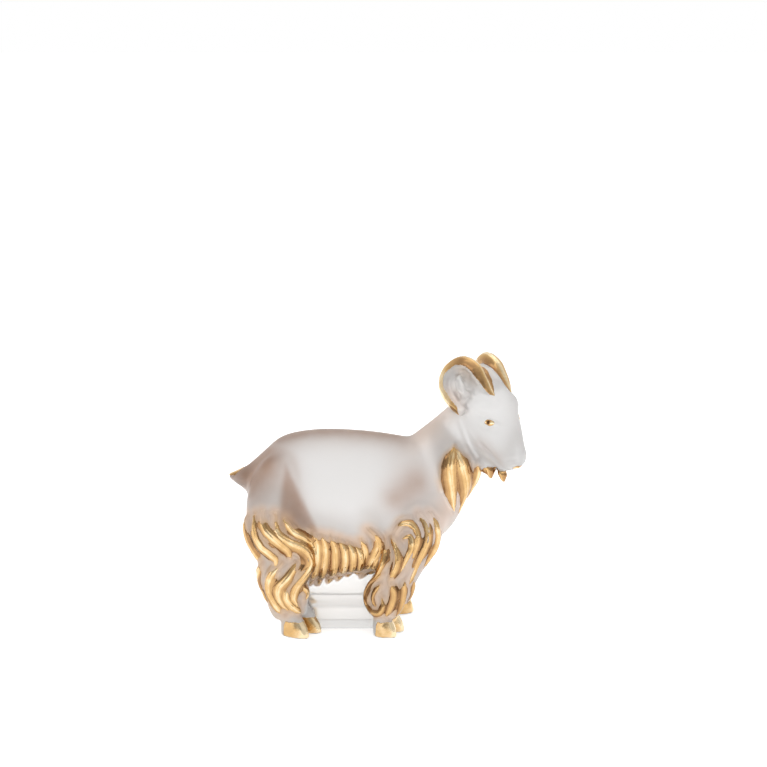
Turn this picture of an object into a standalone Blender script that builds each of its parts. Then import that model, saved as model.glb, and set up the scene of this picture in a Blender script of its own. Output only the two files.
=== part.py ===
"""A standing goat in cast crystal: one satin casting, and the gold that is fired on to it.

Metres, +Z up. The goat faces +X, its right flank is towards -Y, and the origin is on the polished
base under the belly. Places on the body are read from a drawing in millimetres, DRAWN_LENGTH by
DRAWN_WIDTH by DRAWN_HEIGHT, and place() stretches them to the body's own size. Places on the head
are read the same way in the head's own frame: forward along the nose, left, and up.
"""

import math

import bmesh
import bpy
import numpy as np
from mathutils.bvhtree import BVHTree

MM = 0.001

# Overall sizes, and the sizes of the drawing that the body's places are read from
BODY_LENGTH = 96 * MM
BODY_WIDTH = 36 * MM
BODY_HEIGHT = 88 * MM
DRAWN_LENGTH, DRAWN_WIDTH, DRAWN_HEIGHT = 96 * MM, 36 * MM, 88 * MM

# The head, which looks down and to the goat's right
HEAD_LENGTH = 30 * MM
DRAWN_HEAD = 30 * MM
HEAD_YAW = math.radians(45)
HEAD_PITCH = math.radians(57)

# The clear block between the legs: a slab on the ground that clears the hooves, and a narrower web
SLAB_CLEARANCE = 1.7 * MM
SLAB_HEIGHT = 7.5 * MM
WEB_INSET = 1.9 * MM
BLOCK_EDGE = 0.6 * MM

# Hair locks: full width and height above the skin at the thickest place
LOCK_ROOT = 2.0 * MM
LOCK_LIFT = 0.3 * MM
HIND_LOCK = (3.2 * MM, 1.8 * MM)
PLAIN_LOCK = (2.6 * MM, 1.3 * MM)
FRINGE_HEIGHT = 1.6 * MM
FRINGE_PARTING = 0.35 * MM
FORE_LOCK = (2.7 * MM, 1.6 * MM)
THROAT_LOCK = (4.4 * MM, 1.6 * MM)
EYE_BULGE = (2.3 * MM, 0.5 * MM)
MUZZLE_BULGE = (1.9 * MM, 0.4 * MM)

# Horns and ears, and the thin glass that fills each horn's curl
HORN_WEB_THICKNESS = 2.4 * MM
HORN_BASE_RADIUS = 3.4 * MM
HORN_TIP_RADIUS = 0.9 * MM
EAR_WIDTH = 4.6 * MM
EAR_THICKNESS = 2.4 * MM

# Hooves: each has two toes beside a cleft
TOE_WIDTH = 5.2 * MM
TOE_REACH = {"hind": 6.4 * MM, "fore": 4.8 * MM}
CLEFT = 0.9 * MM
TOE_SPLAY = 0.12
HOOF_TURN = {"hind": math.radians(32), "fore": math.radians(20)}

# The gold, drawn thick enough to be a solid, and its clearance over the glass
GOLD_THICKNESS = 0.25 * MM
GOLD_GAP = 0.3 * MM

# How finely the casting is made
SKIN_GRAIN = 1.0 * MM
SKIN_SMOOTHING = 8
SKIN_KEEP = 0.055
# Rings along a lock, as shares of its length. Gold runs from the second to the last but one.
LOCK_STATIONS = np.array((0.0, 0.06, 0.24, 0.48, 0.72, 0.94, 1.0))
LONG_LOCK_STATIONS = np.array((0.0, 0.05, 0.18, 0.33, 0.48, 0.63, 0.79, 0.95, 1.0))
BULGE_STATIONS = np.array((0.0, 0.12, 0.5, 0.88, 1.0))

# Points round a lock's section, in degrees from its crest. Gold lies on the middle four.
SECTION_ANGLES = np.radians((-138, -60, -20, 20, 60, 138))
GOLD_POINTS = slice(1, 5)

RIGHT, LEFT = -1, 1
SIDE_NAMES = {RIGHT: "right", LEFT: "left"}

# Body stations on the drawing: x, height of the middle, half height, half width
TORSO = (
    (-42.0, 46.0, 2.0, 2.0),
    (-40.5, 45.5, 7.0, 6.5),
    (-36.0, 45.0, 12.2, 11.0),
    (-30.0, 44.0, 17.8, 14.6),
    (-20.0, 43.5, 20.2, 16.4),
    (-8.0, 43.0, 20.6, 16.8),
    (4.0, 42.5, 19.8, 15.8),
    (14.0, 42.5, 17.6, 13.6),
    (22.0, 43.0, 12.6, 10.4),
    (26.5, 43.5, 7.0, 6.6),
    (28.5, 43.5, 2.0, 2.0),
)
# The hem of hair below the belly, in the same terms
SKIRT = (
    (-26.0, 28.0, 2.0, 3.0),
    (-24.0, 24.8, 9.6, 9.5),
    (-19.0, 24.4, 11.0, 13.0),
    (-11.0, 24.6, 10.8, 13.8),
    (-3.0, 25.2, 10.4, 13.0),
    (2.0, 26.4, 9.0, 11.4),
    (4.0, 28.0, 2.0, 3.0),
)
# Limb stations on the drawing: x, y on the left, z, half depth in side view, half width
NECK = (
    (12.0, 0.0, 44.0, 15.0, 11.5),
    (21.5, 0.0, 54.5, 12.6, 10.6),
    (27.0, -0.6, 61.5, 10.8, 9.0),
    (31.0, -2.0, 67.5, 9.0, 8.0),
    (34.0, -3.5, 71.5, 6.0, 6.0),
)
HAUNCH = (
    (-28.0, 7.5, 57.0, 4.0, 4.0),
    (-29.5, 8.5, 52.0, 8.5, 7.0),
    (-31.0, 9.5, 43.0, 10.6, 8.0),
    (-31.0, 10.5, 33.0, 10.4, 7.6),
    (-30.0, 11.0, 25.0, 8.4, 6.6),
)
HIND_LEG = (
    (-31.0, 10.5, 34.0, 9.6, 7.0),
    (-29.5, 11.5, 24.0, 9.0, 6.6),
    (-29.0, 12.0, 15.0, 7.2, 6.0),
    (-28.6, 12.4, 10.0, 6.8, 5.6),
    (-27.6, 12.8, 5.2, 5.2, 5.0),
)
FORE_LEG = (
    (15.5, 7.5, 40.0, 8.0, 6.5),
    (11.5, 10.5, 31.0, 8.4, 6.4),
    (7.0, 12.0, 21.0, 7.0, 6.0),
    (3.4, 12.4, 12.0, 5.8, 5.4),
    (2.2, 12.8, 5.2, 3.8, 4.7),
)
# Where each hoof stands along the body
HOOF_AT = {"hind": -25.4, "fore": 2.8}
HOOF_OUT = 13.2
HOOF_HEIGHT = 8.4
# The left legs stand a little further apart than the right ones
STANCE = {("hind", RIGHT): 0.0, ("hind", LEFT): -2.0, ("fore", RIGHT): 0.0, ("fore", LEFT): 3.5}

# Head stations in the head's frame: forward, up of the middle, half height, half width
HEAD_MIDDLE = (36.4, -6.0, 67.6)
SKULL = (
    (-12.5, 1.0, 2.0, 2.0),
    (-11.5, 0.4, 5.4, 5.6),
    (-8.0, 0.1, 8.4, 8.6),
    (-3.0, 0.0, 10.3, 9.6),
    (3.0, -0.7, 9.7, 8.7),
    (8.0, -0.6, 8.5, 6.5),
    (11.6, 0.3, 6.8, 5.2),
    (14.2, 1.0, 5.6, 4.7),
    (15.9, 1.1, 3.6, 3.3),
    (16.6, 1.2, 1.2, 1.2),
)
# The glass between the horns, in the same terms
CROWN = (
    (-3.0, 3.5, 2.0, 4.0),
    (-5.0, 3.6, 3.6, 6.2),
    (-10.0, 3.4, 3.9, 6.6),
    (-15.0, 2.9, 3.3, 6.4),
    (-18.4, 2.4, 1.6, 5.4),
)
# The underside of the jaw over the throat
JAW = (6.0, -3.0, -8.6)
# Routes in the head's frame, on the left: forward, left, up
HORN = (
    (-3.0, 3.9, 4.8),
    (-7.4, 4.7, 7.0),
    (-12.2, 5.1, 6.8),
    (-16.6, 5.4, 5.8),
    (-19.6, 6.0, 3.6),
    (-19.7, 7.0, 0.0),
    (-18.2, 8.0, -2.6),
    (-15.6, 9.0, -3.7),
    (-12.2, 9.8, -3.2),
    (-8.4, 10.4, -1.7),
    (-4.6, 10.8, 0.7),
)
HORN_CURL = (-13.0, 7.2, 1.4)
EAR = (
    (-6.0, 8.2, 2.0),
    (-10.0, 9.2, 2.4),
    (-14.0, 9.4, 2.6),
    (-17.2, 8.4, 2.6),
)
# The left eye is set a little lower than the right one
EYES = {
    RIGHT: ((0.9, 8.8, 4.4), (1.9, 7.8, 5.7), (2.9, 6.7, 7.0)),
    LEFT: ((0.9, 9.3, 3.2), (1.9, 8.3, 4.5), (2.9, 7.2, 5.8)),
}
MUZZLE_GOLD = ((16.4, 0.4, 0.2), (16.3, 1.4, 0.8), (15.8, 2.4, 1.4))
# Where the beard's two tufts leave the chin, in the head's frame, and how they hang from there
BEARD_ROOTS = {"beard_rear": (9.8, -1.9, -5.9), "beard_front": (12.4, 0.4, -3.6)}
BEARD_DROP = (0.8, -0.4, -6.6)
BEARD_RADIUS = 1.8 * MM

# Routes on the drawing of one flank: x, z from the root of a lock to its tip
HIND_LOCKS = {
    "thigh_front": ((-31.6, 41.0), (-31.4, 35.5), (-26.5, 30.8), (-22.6, 25.0), (-25.0, 18.2), (-26.4, 12.6)),
    "thigh_middle": ((-36.4, 40.5), (-35.4, 34.6), (-31.8, 30.0), (-29.8, 25.4)),
    "thigh_rear": ((-39.2, 38.4), (-39.2, 33.0), (-36.6, 28.8), (-34.8, 24.6)),
    "hock_front": ((-26.6, 24.4), (-29.0, 20.2), (-30.6, 15.4), (-29.6, 11.0), (-27.2, 8.8)),
    "hock_rear": ((-31.4, 23.4), (-33.6, 20.0), (-34.4, 15.4), (-33.0, 10.4)),
}
# Locks of the hind leg that are left without gold
PLAIN_LOCKS = {
    "thigh_edge": ((-28.0, 39.4), (-26.0, 35.8), (-23.4, 32.8), (-21.2, 29.6)),
}
FORE_LOCKS = {
    "shoulder_front": ((17.8, 40.0), (19.6, 35.2), (18.8, 30.4), (16.6, 25.6)),
    "shoulder_middle": ((14.2, 39.4), (15.8, 34.6), (14.8, 29.4), (13.0, 23.6)),
    "shoulder_rear": ((11.8, 37.2), (11.2, 32.2), (10.2, 27.0), (9.8, 21.0)),
    "upper_arm": ((8.0, 35.4), (6.8, 30.8), (5.8, 25.8), (6.2, 20.4)),
    "knee_front": ((7.4, 17.8), (6.6, 14.2), (5.0, 10.8)),
    "knee_rear": ((2.2, 19.6), (0.4, 15.6), (-0.2, 12.4), (1.0, 10.2)),
    "elbow": ((-3.0, 33.6), (0.1, 30.4), (-0.5, 25.6), (-2.2, 20.6)),
}
THROAT_LOCKS = {
    "throat_front": ((26.4, 57.4), (28.8, 51.6), (27.8, 44.6), (24.8, 37.6)),
    "throat_rear": ((23.6, 59.8), (22.4, 53.0), (21.4, 46.0), (21.2, 38.6)),
}
FRINGE_COUNT = 5
FRINGE_START, FRINGE_END = -18.6, -5.8
FRINGE_TOP, FRINGE_TOP_DROP = 32.4, 4.6
FRINGE_LENGTH, FRINGE_SHORTER = 15.8, 4.6
FRINGE_BOW = 1.5

# The tail: x, z and half width
TAIL = ((-27.0, 52.0, 11.5), (-34.0, 50.4, 9.4), (-39.5, 49.0, 6.4), (-44.0, 48.8, 3.2), (-47.8, 49.0, 0.8))
BLOCK_ENDS = (-27.0, 5.0)
BLOCK_TOP = 24.0


def place(x, y, z):
    """A point of the drawing, in millimetres, at the body's own size."""
    drawn = np.array((x, y, z), float) * MM
    return drawn * (BODY_LENGTH / DRAWN_LENGTH, BODY_WIDTH / DRAWN_WIDTH, BODY_HEIGHT / DRAWN_HEIGHT)


def head_axes():
    """Forward, left and up of the head, which turns to the right and then looks down."""
    level = np.array((math.cos(HEAD_YAW), -math.sin(HEAD_YAW), 0))
    left = np.array((math.sin(HEAD_YAW), math.cos(HEAD_YAW), 0))
    upright = np.array((0, 0, 1))
    forward = level * math.cos(HEAD_PITCH) - upright * math.sin(HEAD_PITCH)
    up = level * math.sin(HEAD_PITCH) + upright * math.cos(HEAD_PITCH)
    return forward, left, up


def head_point(forward, left, up):
    """A point of the head's frame, in millimetres, at the head's own size."""
    axes = np.array(head_axes())
    return place(*HEAD_MIDDLE) + np.array((forward, left, up)) @ axes * MM * HEAD_LENGTH / DRAWN_HEAD


def smooth_curve(points, shares):
    """Points at these shares of a smooth curve through the given ones, or that many spread evenly."""
    if isinstance(shares, int):
        shares = np.linspace(0, 1, shares)
    given = np.asarray(points, float)
    padded = np.vstack([2 * given[0] - given[1], given, 2 * given[-1] - given[-2]])
    along = shares * (len(given) - 1)
    span = np.minimum(along.astype(int), len(given) - 2)
    t = (along - span)[:, None]
    a, b, c, d = (padded[span + k] for k in range(4))
    cubic = (3 * b - a - 3 * c + d) * t**3 + (2 * a - 5 * b + 4 * c - d) * t**2
    return 0.5 * (cubic + (c - a) * t + 2 * b)


def unit(vectors):
    return vectors / np.linalg.norm(vectors, axis=-1, keepdims=True)


def material(name, colour, roughness, metallic, transmission=0.0):
    made = bpy.data.materials.new(name)
    made.use_nodes = True
    shader = made.node_tree.nodes["Principled BSDF"]
    shader.inputs["Base Color"].default_value = (*colour, 1)
    shader.inputs["Roughness"].default_value = roughness
    shader.inputs["Metallic"].default_value = metallic
    shader.inputs["Transmission Weight"].default_value = transmission
    made.diffuse_color = (*colour, 1)
    return made


def new_object(name, bm, finish=None, smooth=True):
    """The mesh as an object with its faces turned outwards, and shaded smooth where it is round."""
    bmesh.ops.recalc_face_normals(bm, faces=bm.faces)
    mesh = bpy.data.meshes.new(name)
    bm.to_mesh(mesh)
    bm.free()
    if smooth:
        mesh.shade_smooth()
    made = bpy.data.objects.new(name, mesh)
    bpy.context.scene.collection.objects.link(made)
    if finish:
        mesh.materials.append(finish)
    return made


def add_tube(bm, rings):
    """A closed tube: rings of points, joined one to the next, with a face over each end."""
    loops = [[bm.verts.new(point) for point in ring] for ring in rings]
    for near, far in zip(loops, loops[1:]):
        for k in range(len(near)):
            bm.faces.new((near[k - 1], near[k], far[k], far[k - 1]))
    bm.faces.new(loops[0])
    bm.faces.new(reversed(loops[-1]))


def add_flesh(bm, centres, across, up, squareness=1.0, sides=24):
    """A soft form lofted through sections that are ellipses, or squarer than that."""
    turns = np.linspace(0, 2 * math.pi, sides, endpoint=False)[:, None]
    wide, tall = (np.sign(wave) * np.abs(wave) ** (1 / squareness) for wave in (np.cos(turns), np.sin(turns)))
    add_tube(bm, [c + a * wide + u * tall for c, a, u in zip(centres, across, up)])


def add_trunk(bm, stations, squareness):
    """A form along the body, through upright sections."""
    rows = smooth_curve(stations, 5 * len(stations))
    add_flesh(
        bm,
        [place(x, 0, z) for x, z, _, _ in rows],
        [place(0, width, 0) for *_, width in rows],
        [place(0, 0, height) for _, _, height, _ in rows],
        squareness,
    )


def add_limb(bm, stations, side, step=0.0):
    """A limb through its stations. step moves its foot along the body, and fades out towards its top."""
    rows = smooth_curve(stations, 5 * len(stations))
    share = np.linspace(0, 1, len(rows))
    centres = np.array([place(r[0] + step * s, side * r[1], r[2]) for r, s in zip(rows, share)])
    along = unit(np.gradient(centres, axis=0))
    across = unit(np.cross(along, (0, 1, 0)))
    widthways = np.cross(across, along)
    add_flesh(bm, centres, across * rows[:, 3:4] * MM, widthways * rows[:, 4:5] * MM)


def head_form(name, stations, rings, sides):
    """A form of the head through its stations. It keeps its own edge, so the jaw stands clear of the neck."""
    _, left, up = head_axes()
    size = MM * HEAD_LENGTH / DRAWN_HEAD
    rows = smooth_curve(stations, rings)
    centres = [head_point(row[0], 0, row[1]) for row in rows]
    bm = bmesh.new()
    add_flesh(bm, centres, rows[:, 3:4] * left * size, rows[:, 2:3] * up * size, sides=sides)
    return helper(new_object(name, bm))


def build_flesh():
    """The smooth parts of the goat, run together into one skin, as wax is smoothed on a model."""
    bm = bmesh.new()
    add_trunk(bm, TORSO, 1.15)
    add_trunk(bm, SKIRT, 1.6)
    add_limb(bm, NECK, LEFT)
    for side in SIDE_NAMES:
        add_limb(bm, HAUNCH, side)
        add_limb(bm, HIND_LEG, side, STANCE["hind", side])
        add_limb(bm, FORE_LEG, side, STANCE["fore", side])
    flesh = new_object("flesh", bm)
    remesh = flesh.modifiers.new("run together", "REMESH")
    remesh.mode = "VOXEL"
    remesh.voxel_size = SKIN_GRAIN
    remesh.use_smooth_shade = True
    smooth = flesh.modifiers.new("smooth", "SMOOTH")
    smooth.iterations = SKIN_SMOOTHING
    return flesh


def evaluated_mesh(obj):
    bpy.context.view_layer.update()
    graph = bpy.context.evaluated_depsgraph_get()
    return bpy.data.meshes.new_from_object(obj.evaluated_get(graph))


def surface(obj):
    """The object's faces, ready to be asked where a line meets them."""
    mesh = evaluated_mesh(obj)
    return BVHTree.FromPolygons(
        [vertex.co for vertex in mesh.vertices],
        [polygon.vertices for polygon in mesh.polygons],
    )


class Ridge:
    """A swept form with a crest: a lock of hair, a horn, a toe or a tuft.

    It has a centre, a crest direction and a sideways direction at each ring, with the half width,
    the height of the crest above the centre and the depth of the root below it.
    """

    def __init__(self, centres, crests, half_widths, heights, roots):
        along = unit(np.gradient(centres, axis=0))
        crests = crests - along * np.sum(crests * along, axis=1, keepdims=True)
        self.centres = centres
        self.crests = unit(crests)
        self.sideways = np.cross(along, self.crests)
        self.half_widths = half_widths
        self.heights = heights
        self.roots = roots

    def ring(self, index, angles, lift=0.0):
        """Points round one section, lifted clear of it by the given distance."""
        tall = np.where(np.cos(angles) > 0, self.heights[index] + lift, self.roots[index] + lift)
        wide = self.half_widths[index] + lift
        return (
            self.centres[index]
            + np.outer(wide * np.sin(angles), self.sideways[index])
            + np.outer(tall * np.cos(angles), self.crests[index])
        )

    def solid(self, name):
        """The form itself, as a helper that is joined to the casting."""
        bm = bmesh.new()
        add_tube(bm, [self.ring(k, SECTION_ANGLES) for k in range(len(self.centres))])
        return helper(new_object(name, bm))

    def gold(self, name, finish, first=1, last=-1):
        """The gold on the crest: a curved strip that follows the glass at a constant clearance."""
        crest = SECTION_ANGLES[GOLD_POINTS]
        bm = bmesh.new()
        rings = []
        for k in range(len(self.centres))[first:last]:
            outer = self.ring(k, crest, GOLD_GAP + GOLD_THICKNESS)
            inner = self.ring(k, crest[::-1], GOLD_GAP)
            rings.append(np.vstack([outer, inner]))
        add_tube(bm, rings)
        return new_object(name, bm, finish)


def helper(obj):
    obj.hide_render = True
    obj.display_type = "WIRE"
    return obj


def leaf(shares, blunt=0.55):
    """How wide a lock is along its length: narrow at the root, full in the middle, fine at the tip."""
    return np.sin(math.pi * (0.03 + 0.94 * shares) ** 0.8) ** blunt


def on_skin(skin, side, x, z):
    """The point of the skin at x, z on the drawing, seen from one side, and the skin's direction there."""
    start = place(x, side * 60, z)
    hit, normal, _, _ = skin.ray_cast(start, (0, -side, 0))
    if hit is None:
        hit, normal, _, _ = skin.find_nearest(place(x, side * 12, z))
    return np.array(hit), np.array(normal)


def skin_ridge(points, shares, width, height):
    """A lock that lies on the skin along these points, each with the skin's direction there."""
    centres, normals = (np.array(column) for column in zip(*points))
    for _ in range(2):
        padded = np.vstack([normals[:1], normals, normals[-1:]])
        normals = unit(padded[:-2] + 2 * normals + padded[2:])
    shape = leaf(shares)
    roots = np.full(len(points), LOCK_ROOT)
    return Ridge(centres + LOCK_LIFT * normals, normals, width / 2 * shape, height * shape, roots)


def stance_shift(leg, side, z):
    """How far a leg's own stance moves it along the body at this height."""
    stations = {"hind": HIND_LEG, "fore": FORE_LEG}.get(leg)
    if not stations:
        return 0.0
    top, foot = stations[0][2], stations[-1][2]
    return STANCE[leg, side] * min(max((top - z) / (top - foot), 0), 1)


def flank_lock(skin, side, route, size, leg):
    """A lock on one flank along a route of the drawing, moved with the leg that it grows on."""
    stations = LONG_LOCK_STATIONS if len(route) > 4 else LOCK_STATIONS
    points = []
    for x, z in smooth_curve(route, stations):
        points.append(on_skin(skin, side, x + stance_shift(leg, side, z), z))
    return skin_ridge(points, stations, *size)


def head_bulge(skull, route, side, size):
    """A small swelling on the head, such as an eye, along a route in the head's frame."""
    points = []
    for forward, left, up in smooth_curve(route, BULGE_STATIONS):
        hit, normal, _, _ = skull.find_nearest(head_point(forward, side * left, up))
        points.append((np.array(hit), np.array(normal)))
    return skin_ridge(points, BULGE_STATIONS, *size)


def throat_routes():
    """The throat locks. Their roots follow the jaw when the head and the body change size apart."""
    jaw = np.array(JAW) @ np.array(head_axes())
    body = np.array((BODY_LENGTH / DRAWN_LENGTH, BODY_HEIGHT / DRAWN_HEIGHT))
    shift = jaw[[0, 2]] * (HEAD_LENGTH / DRAWN_HEAD / body - 1)
    for name, route in THROAT_LOCKS.items():
        yield name, np.array(route) + np.linspace(1, 0, len(route))[:, None] * shift


def fringe_routes():
    """The belly fringe: locks of falling length that bow forwards and hang back to a point."""
    for k in range(FRINGE_COUNT):
        share = k / (FRINGE_COUNT - 1)
        x = FRINGE_START + share * (FRINGE_END - FRINGE_START)
        top = FRINGE_TOP - share * FRINGE_TOP_DROP
        length = FRINGE_LENGTH - share * FRINGE_SHORTER
        yield f"fringe_{k + 1}", (
            (x - FRINGE_BOW / 2, top),
            (x + FRINGE_BOW / 2, top - length * 0.35),
            (x + FRINGE_BOW / 3, top - length * 0.7),
            (x - FRINGE_BOW, top - length),
        )


def fringe_size():
    """A fringe lock's width and height: as wide as leaves a parting between the gold of two neighbours."""
    spacing = place((FRINGE_END - FRINGE_START) / (FRINGE_COUNT - 1), 0, 0)[0]
    gold_edge = math.sin(SECTION_ANGLES[GOLD_POINTS][-1])
    return (spacing - FRINGE_PARTING) / gold_edge - 2 * (GOLD_GAP + GOLD_THICKNESS), FRINGE_HEIGHT


def horn(side):
    centres = smooth_curve([head_point(f, side * l, u) for f, l, u in HORN], 15)
    curl = head_point(HORN_CURL[0], side * HORN_CURL[1], HORN_CURL[2])
    share = np.linspace(0, 1, len(centres))
    radius = (1 - share) ** 0.8 * (HORN_BASE_RADIUS - HORN_TIP_RADIUS) + HORN_TIP_RADIUS
    radius *= np.minimum(0.25 + share / 0.22, 1) ** 0.7  # the base ends in a point on the brow
    return Ridge(centres, centres - curl, radius * 0.86, radius * 1.1, radius * 0.8)


def horn_web(side, name):
    """The thin glass inside a horn's curl: a fan from the middle of the curl out to the horn's own line."""
    rim = smooth_curve([head_point(f, side * l, u) for f, l, u in HORN], 19)[3:-1]
    hub = head_point(HORN_CURL[0], side * HORN_CURL[1], HORN_CURL[2])
    _, left, _ = head_axes()
    bm = bmesh.new()
    edges = []
    for half in (HORN_WEB_THICKNESS / 2, -HORN_WEB_THICKNESS / 2):
        middle = bm.verts.new(hub + left * half)
        edge = [bm.verts.new(point + left * half) for point in rim]
        edges.append(edge)
        for k in range(len(edge)):
            bm.faces.new((middle, edge[k - 1], edge[k]))
    for k in range(len(rim)):
        bm.faces.new((edges[0][k - 1], edges[0][k], edges[1][k], edges[1][k - 1]))
    return helper(new_object(name, bm))


def ear(side):
    centres = smooth_curve([head_point(f, side * l, u) for f, l, u in EAR], 6)
    _, left, up = head_axes()
    shape = leaf(np.linspace(0, 1, 6), 0.7)
    outwards = np.tile(side * left + 0.4 * up, (6, 1))
    return Ridge(centres, outwards, EAR_WIDTH / 2 * shape, EAR_THICKNESS / 2 * shape, EAR_THICKNESS / 2 * shape)


def tuft(root):
    """A tuft of the beard, which hangs free below the chin."""
    drop = np.array(BEARD_DROP) * MM * HEAD_LENGTH / DRAWN_HEAD
    centres = head_point(*root) + np.outer(np.linspace(0, 1, 5), drop)
    _, left, _ = head_axes()
    radius = BEARD_RADIUS * np.array((0.9, 1.0, 0.95, 0.7, 0.28))
    return Ridge(centres, np.tile(-left, (5, 1)), radius * 0.9, radius, radius)


def tail():
    rows = smooth_curve(TAIL, 8)
    centres = np.array([place(x, 0, z) for x, z, _ in rows])
    half = rows[:, 2] * MM
    return Ridge(centres, np.tile((0.0, 0.0, 1.0), (8, 1)), half, half * 0.72, half * 1.05)


def toe(leg, side, which):
    """One of a hoof's two toes, which grows wider to the ground and points forwards."""
    turn = side * HOOF_TURN[leg]
    ahead = np.array((math.cos(turn), math.sin(turn), 0))
    beside = np.array((-math.sin(turn), math.cos(turn), 0))
    foot = place(HOOF_AT[leg] + STANCE[leg, side], side * HOOF_OUT, 0)
    middle = foot + beside * which * (TOE_WIDTH + CLEFT) / 2
    heights = np.array((1.0, 0.5, 0.32, 0.1, -0.1)) * place(0, 0, HOOF_HEIGHT)[2]
    reach = np.array((0.3, 0.8, 0.93, 1.0, 0.97)) * TOE_REACH[leg]
    half = np.array((0.8, 0.92, 0.97, 1.0, 1.0)) * TOE_WIDTH / 2
    centres = middle + np.outer(heights, (0, 0, 1))
    pointing = np.tile(ahead + beside * which * TOE_SPLAY, (5, 1))
    return Ridge(centres, pointing, half, reach, np.full(5, TOE_REACH[leg] * 0.7))


def block(name, width, bottom, top):
    """A bar of clear glass between the legs, with its edges eased."""
    low = place(BLOCK_ENDS[0], 0, 0) - (0, width / 2, -bottom)
    high = place(BLOCK_ENDS[1], 0, 0) + (0, width / 2, top)
    bm = bmesh.new()
    bmesh.ops.create_cube(bm, size=1)
    for vert in bm.verts:
        vert.co = np.array(vert.co) * (high - low) + (low + high) / 2
    bmesh.ops.bevel(bm, geom=bm.edges[:], offset=BLOCK_EDGE, segments=1, affect="EDGES")
    return helper(new_object(name, bm, smooth=False))


def floor_cutter():
    """What is ground off the underside, so that the base and the hooves stand flat."""
    bm = bmesh.new()
    bmesh.ops.create_cube(bm, size=1)
    size = np.array((2 * BODY_LENGTH, 4 * BODY_WIDTH, 20 * MM))
    for vert in bm.verts:
        vert.co = np.array(vert.co) * size - (0, 0, 10 * MM)
    return helper(new_object("floor", bm, smooth=False))


def gilded_ridges(skin, skull):
    """Every crest that carries gold, by name, with the rings that the gold runs over."""
    found = {}
    for side, word in SIDE_NAMES.items():
        families = (
            (HIND_LOCKS.items(), HIND_LOCK, "hind"),
            (fringe_routes(), fringe_size(), None),
            (FORE_LOCKS.items(), FORE_LOCK, "fore"),
            (throat_routes(), THROAT_LOCK, None),
        )
        for routes, size, leg in families:
            for name, route in routes:
                found[f"{name}_{word}"] = (flank_lock(skin, side, route, size, leg), 1, -1)
        found[f"horn_{word}"] = (horn(side), 2, -1)
        found[f"eye_{word}"] = (head_bulge(skull, EYES[side], side, EYE_BULGE), 1, -1)
        for leg in HOOF_AT:
            for which, toe_word in ((side, "outer"), (-side, "inner")):
                found[f"{leg}_hoof_{word}_{toe_word}"] = (toe(leg, side, which), 1, -1)
    found["muzzle"] = (head_bulge(skull, MUZZLE_GOLD, LEFT, MUZZLE_BULGE), 1, -1)
    for name, root in BEARD_ROOTS.items():
        found[name] = (tuft(root), 2, None)
    found["tail_tip"] = (tail(), 5, None)
    return found


def build_casting(flesh, helpers, finish):
    """The glass: the smooth skin, with every raised form joined to it and the underside ground flat."""
    decimate = flesh.modifiers.new("fewer faces", "DECIMATE")
    decimate.ratio = SKIN_KEEP
    casting = bpy.data.objects.new("crystal_casting", evaluated_mesh(flesh))
    bpy.context.scene.collection.objects.link(casting)
    casting.data.materials.append(finish)
    raised = bpy.data.collections.new("raised forms")
    for obj in helpers:
        raised.objects.link(obj)
    union = casting.modifiers.new("raised forms", "BOOLEAN")
    union.operation = "UNION"
    union.operand_type = "COLLECTION"
    union.solver = "MANIFOLD"  # the exact solver leaves slivers where a lock grazes the skin
    union.collection = raised
    ground = casting.modifiers.new("ground flat", "BOOLEAN")
    ground.operation = "DIFFERENCE"
    ground.object = floor_cutter()
    return casting


def main():
    for obj in list(bpy.data.objects):
        bpy.data.objects.remove(obj)
    crystal = material("satin crystal", (0.87, 0.86, 0.85), 0.35, 0.0, 0.9)
    gold = material("fired gold", (0.83, 0.58, 0.2), 0.22, 1.0)
    flesh = helper(build_flesh())
    skull = head_form("form_skull", SKULL, 15, 18)
    skin = surface(flesh)
    ridges = gilded_ridges(skin, surface(skull))
    helpers = [ridge.solid(f"form_{name}") for name, (ridge, _, _) in ridges.items()]
    helpers += [skull, head_form("form_crown", CROWN, 7, 12)]
    for side, word in SIDE_NAMES.items():
        for name, route in PLAIN_LOCKS.items():
            helpers.append(flank_lock(skin, side, route, PLAIN_LOCK, "hind").solid(f"form_{name}_{word}"))
    helpers += [ear(side).solid(f"form_ear_{word}") for side, word in SIDE_NAMES.items()]
    helpers += [horn_web(side, f"form_horn_web_{word}") for side, word in SIDE_NAMES.items()]
    slab_width = 2 * (place(0, HOOF_OUT, 0)[1] - (TOE_WIDTH + CLEFT) / 2 - SLAB_CLEARANCE)
    helpers.append(block("form_slab", slab_width, -2 * MM, SLAB_HEIGHT))
    helpers.append(block("form_web", slab_width - 2 * WEB_INSET, SLAB_HEIGHT / 2, place(0, 0, BLOCK_TOP)[2]))
    build_casting(flesh, helpers, crystal)
    for name, (ridge, first, last) in ridges.items():
        ridge.gold(f"gold_{name}", gold, first, last)


main()
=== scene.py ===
import math

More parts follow.
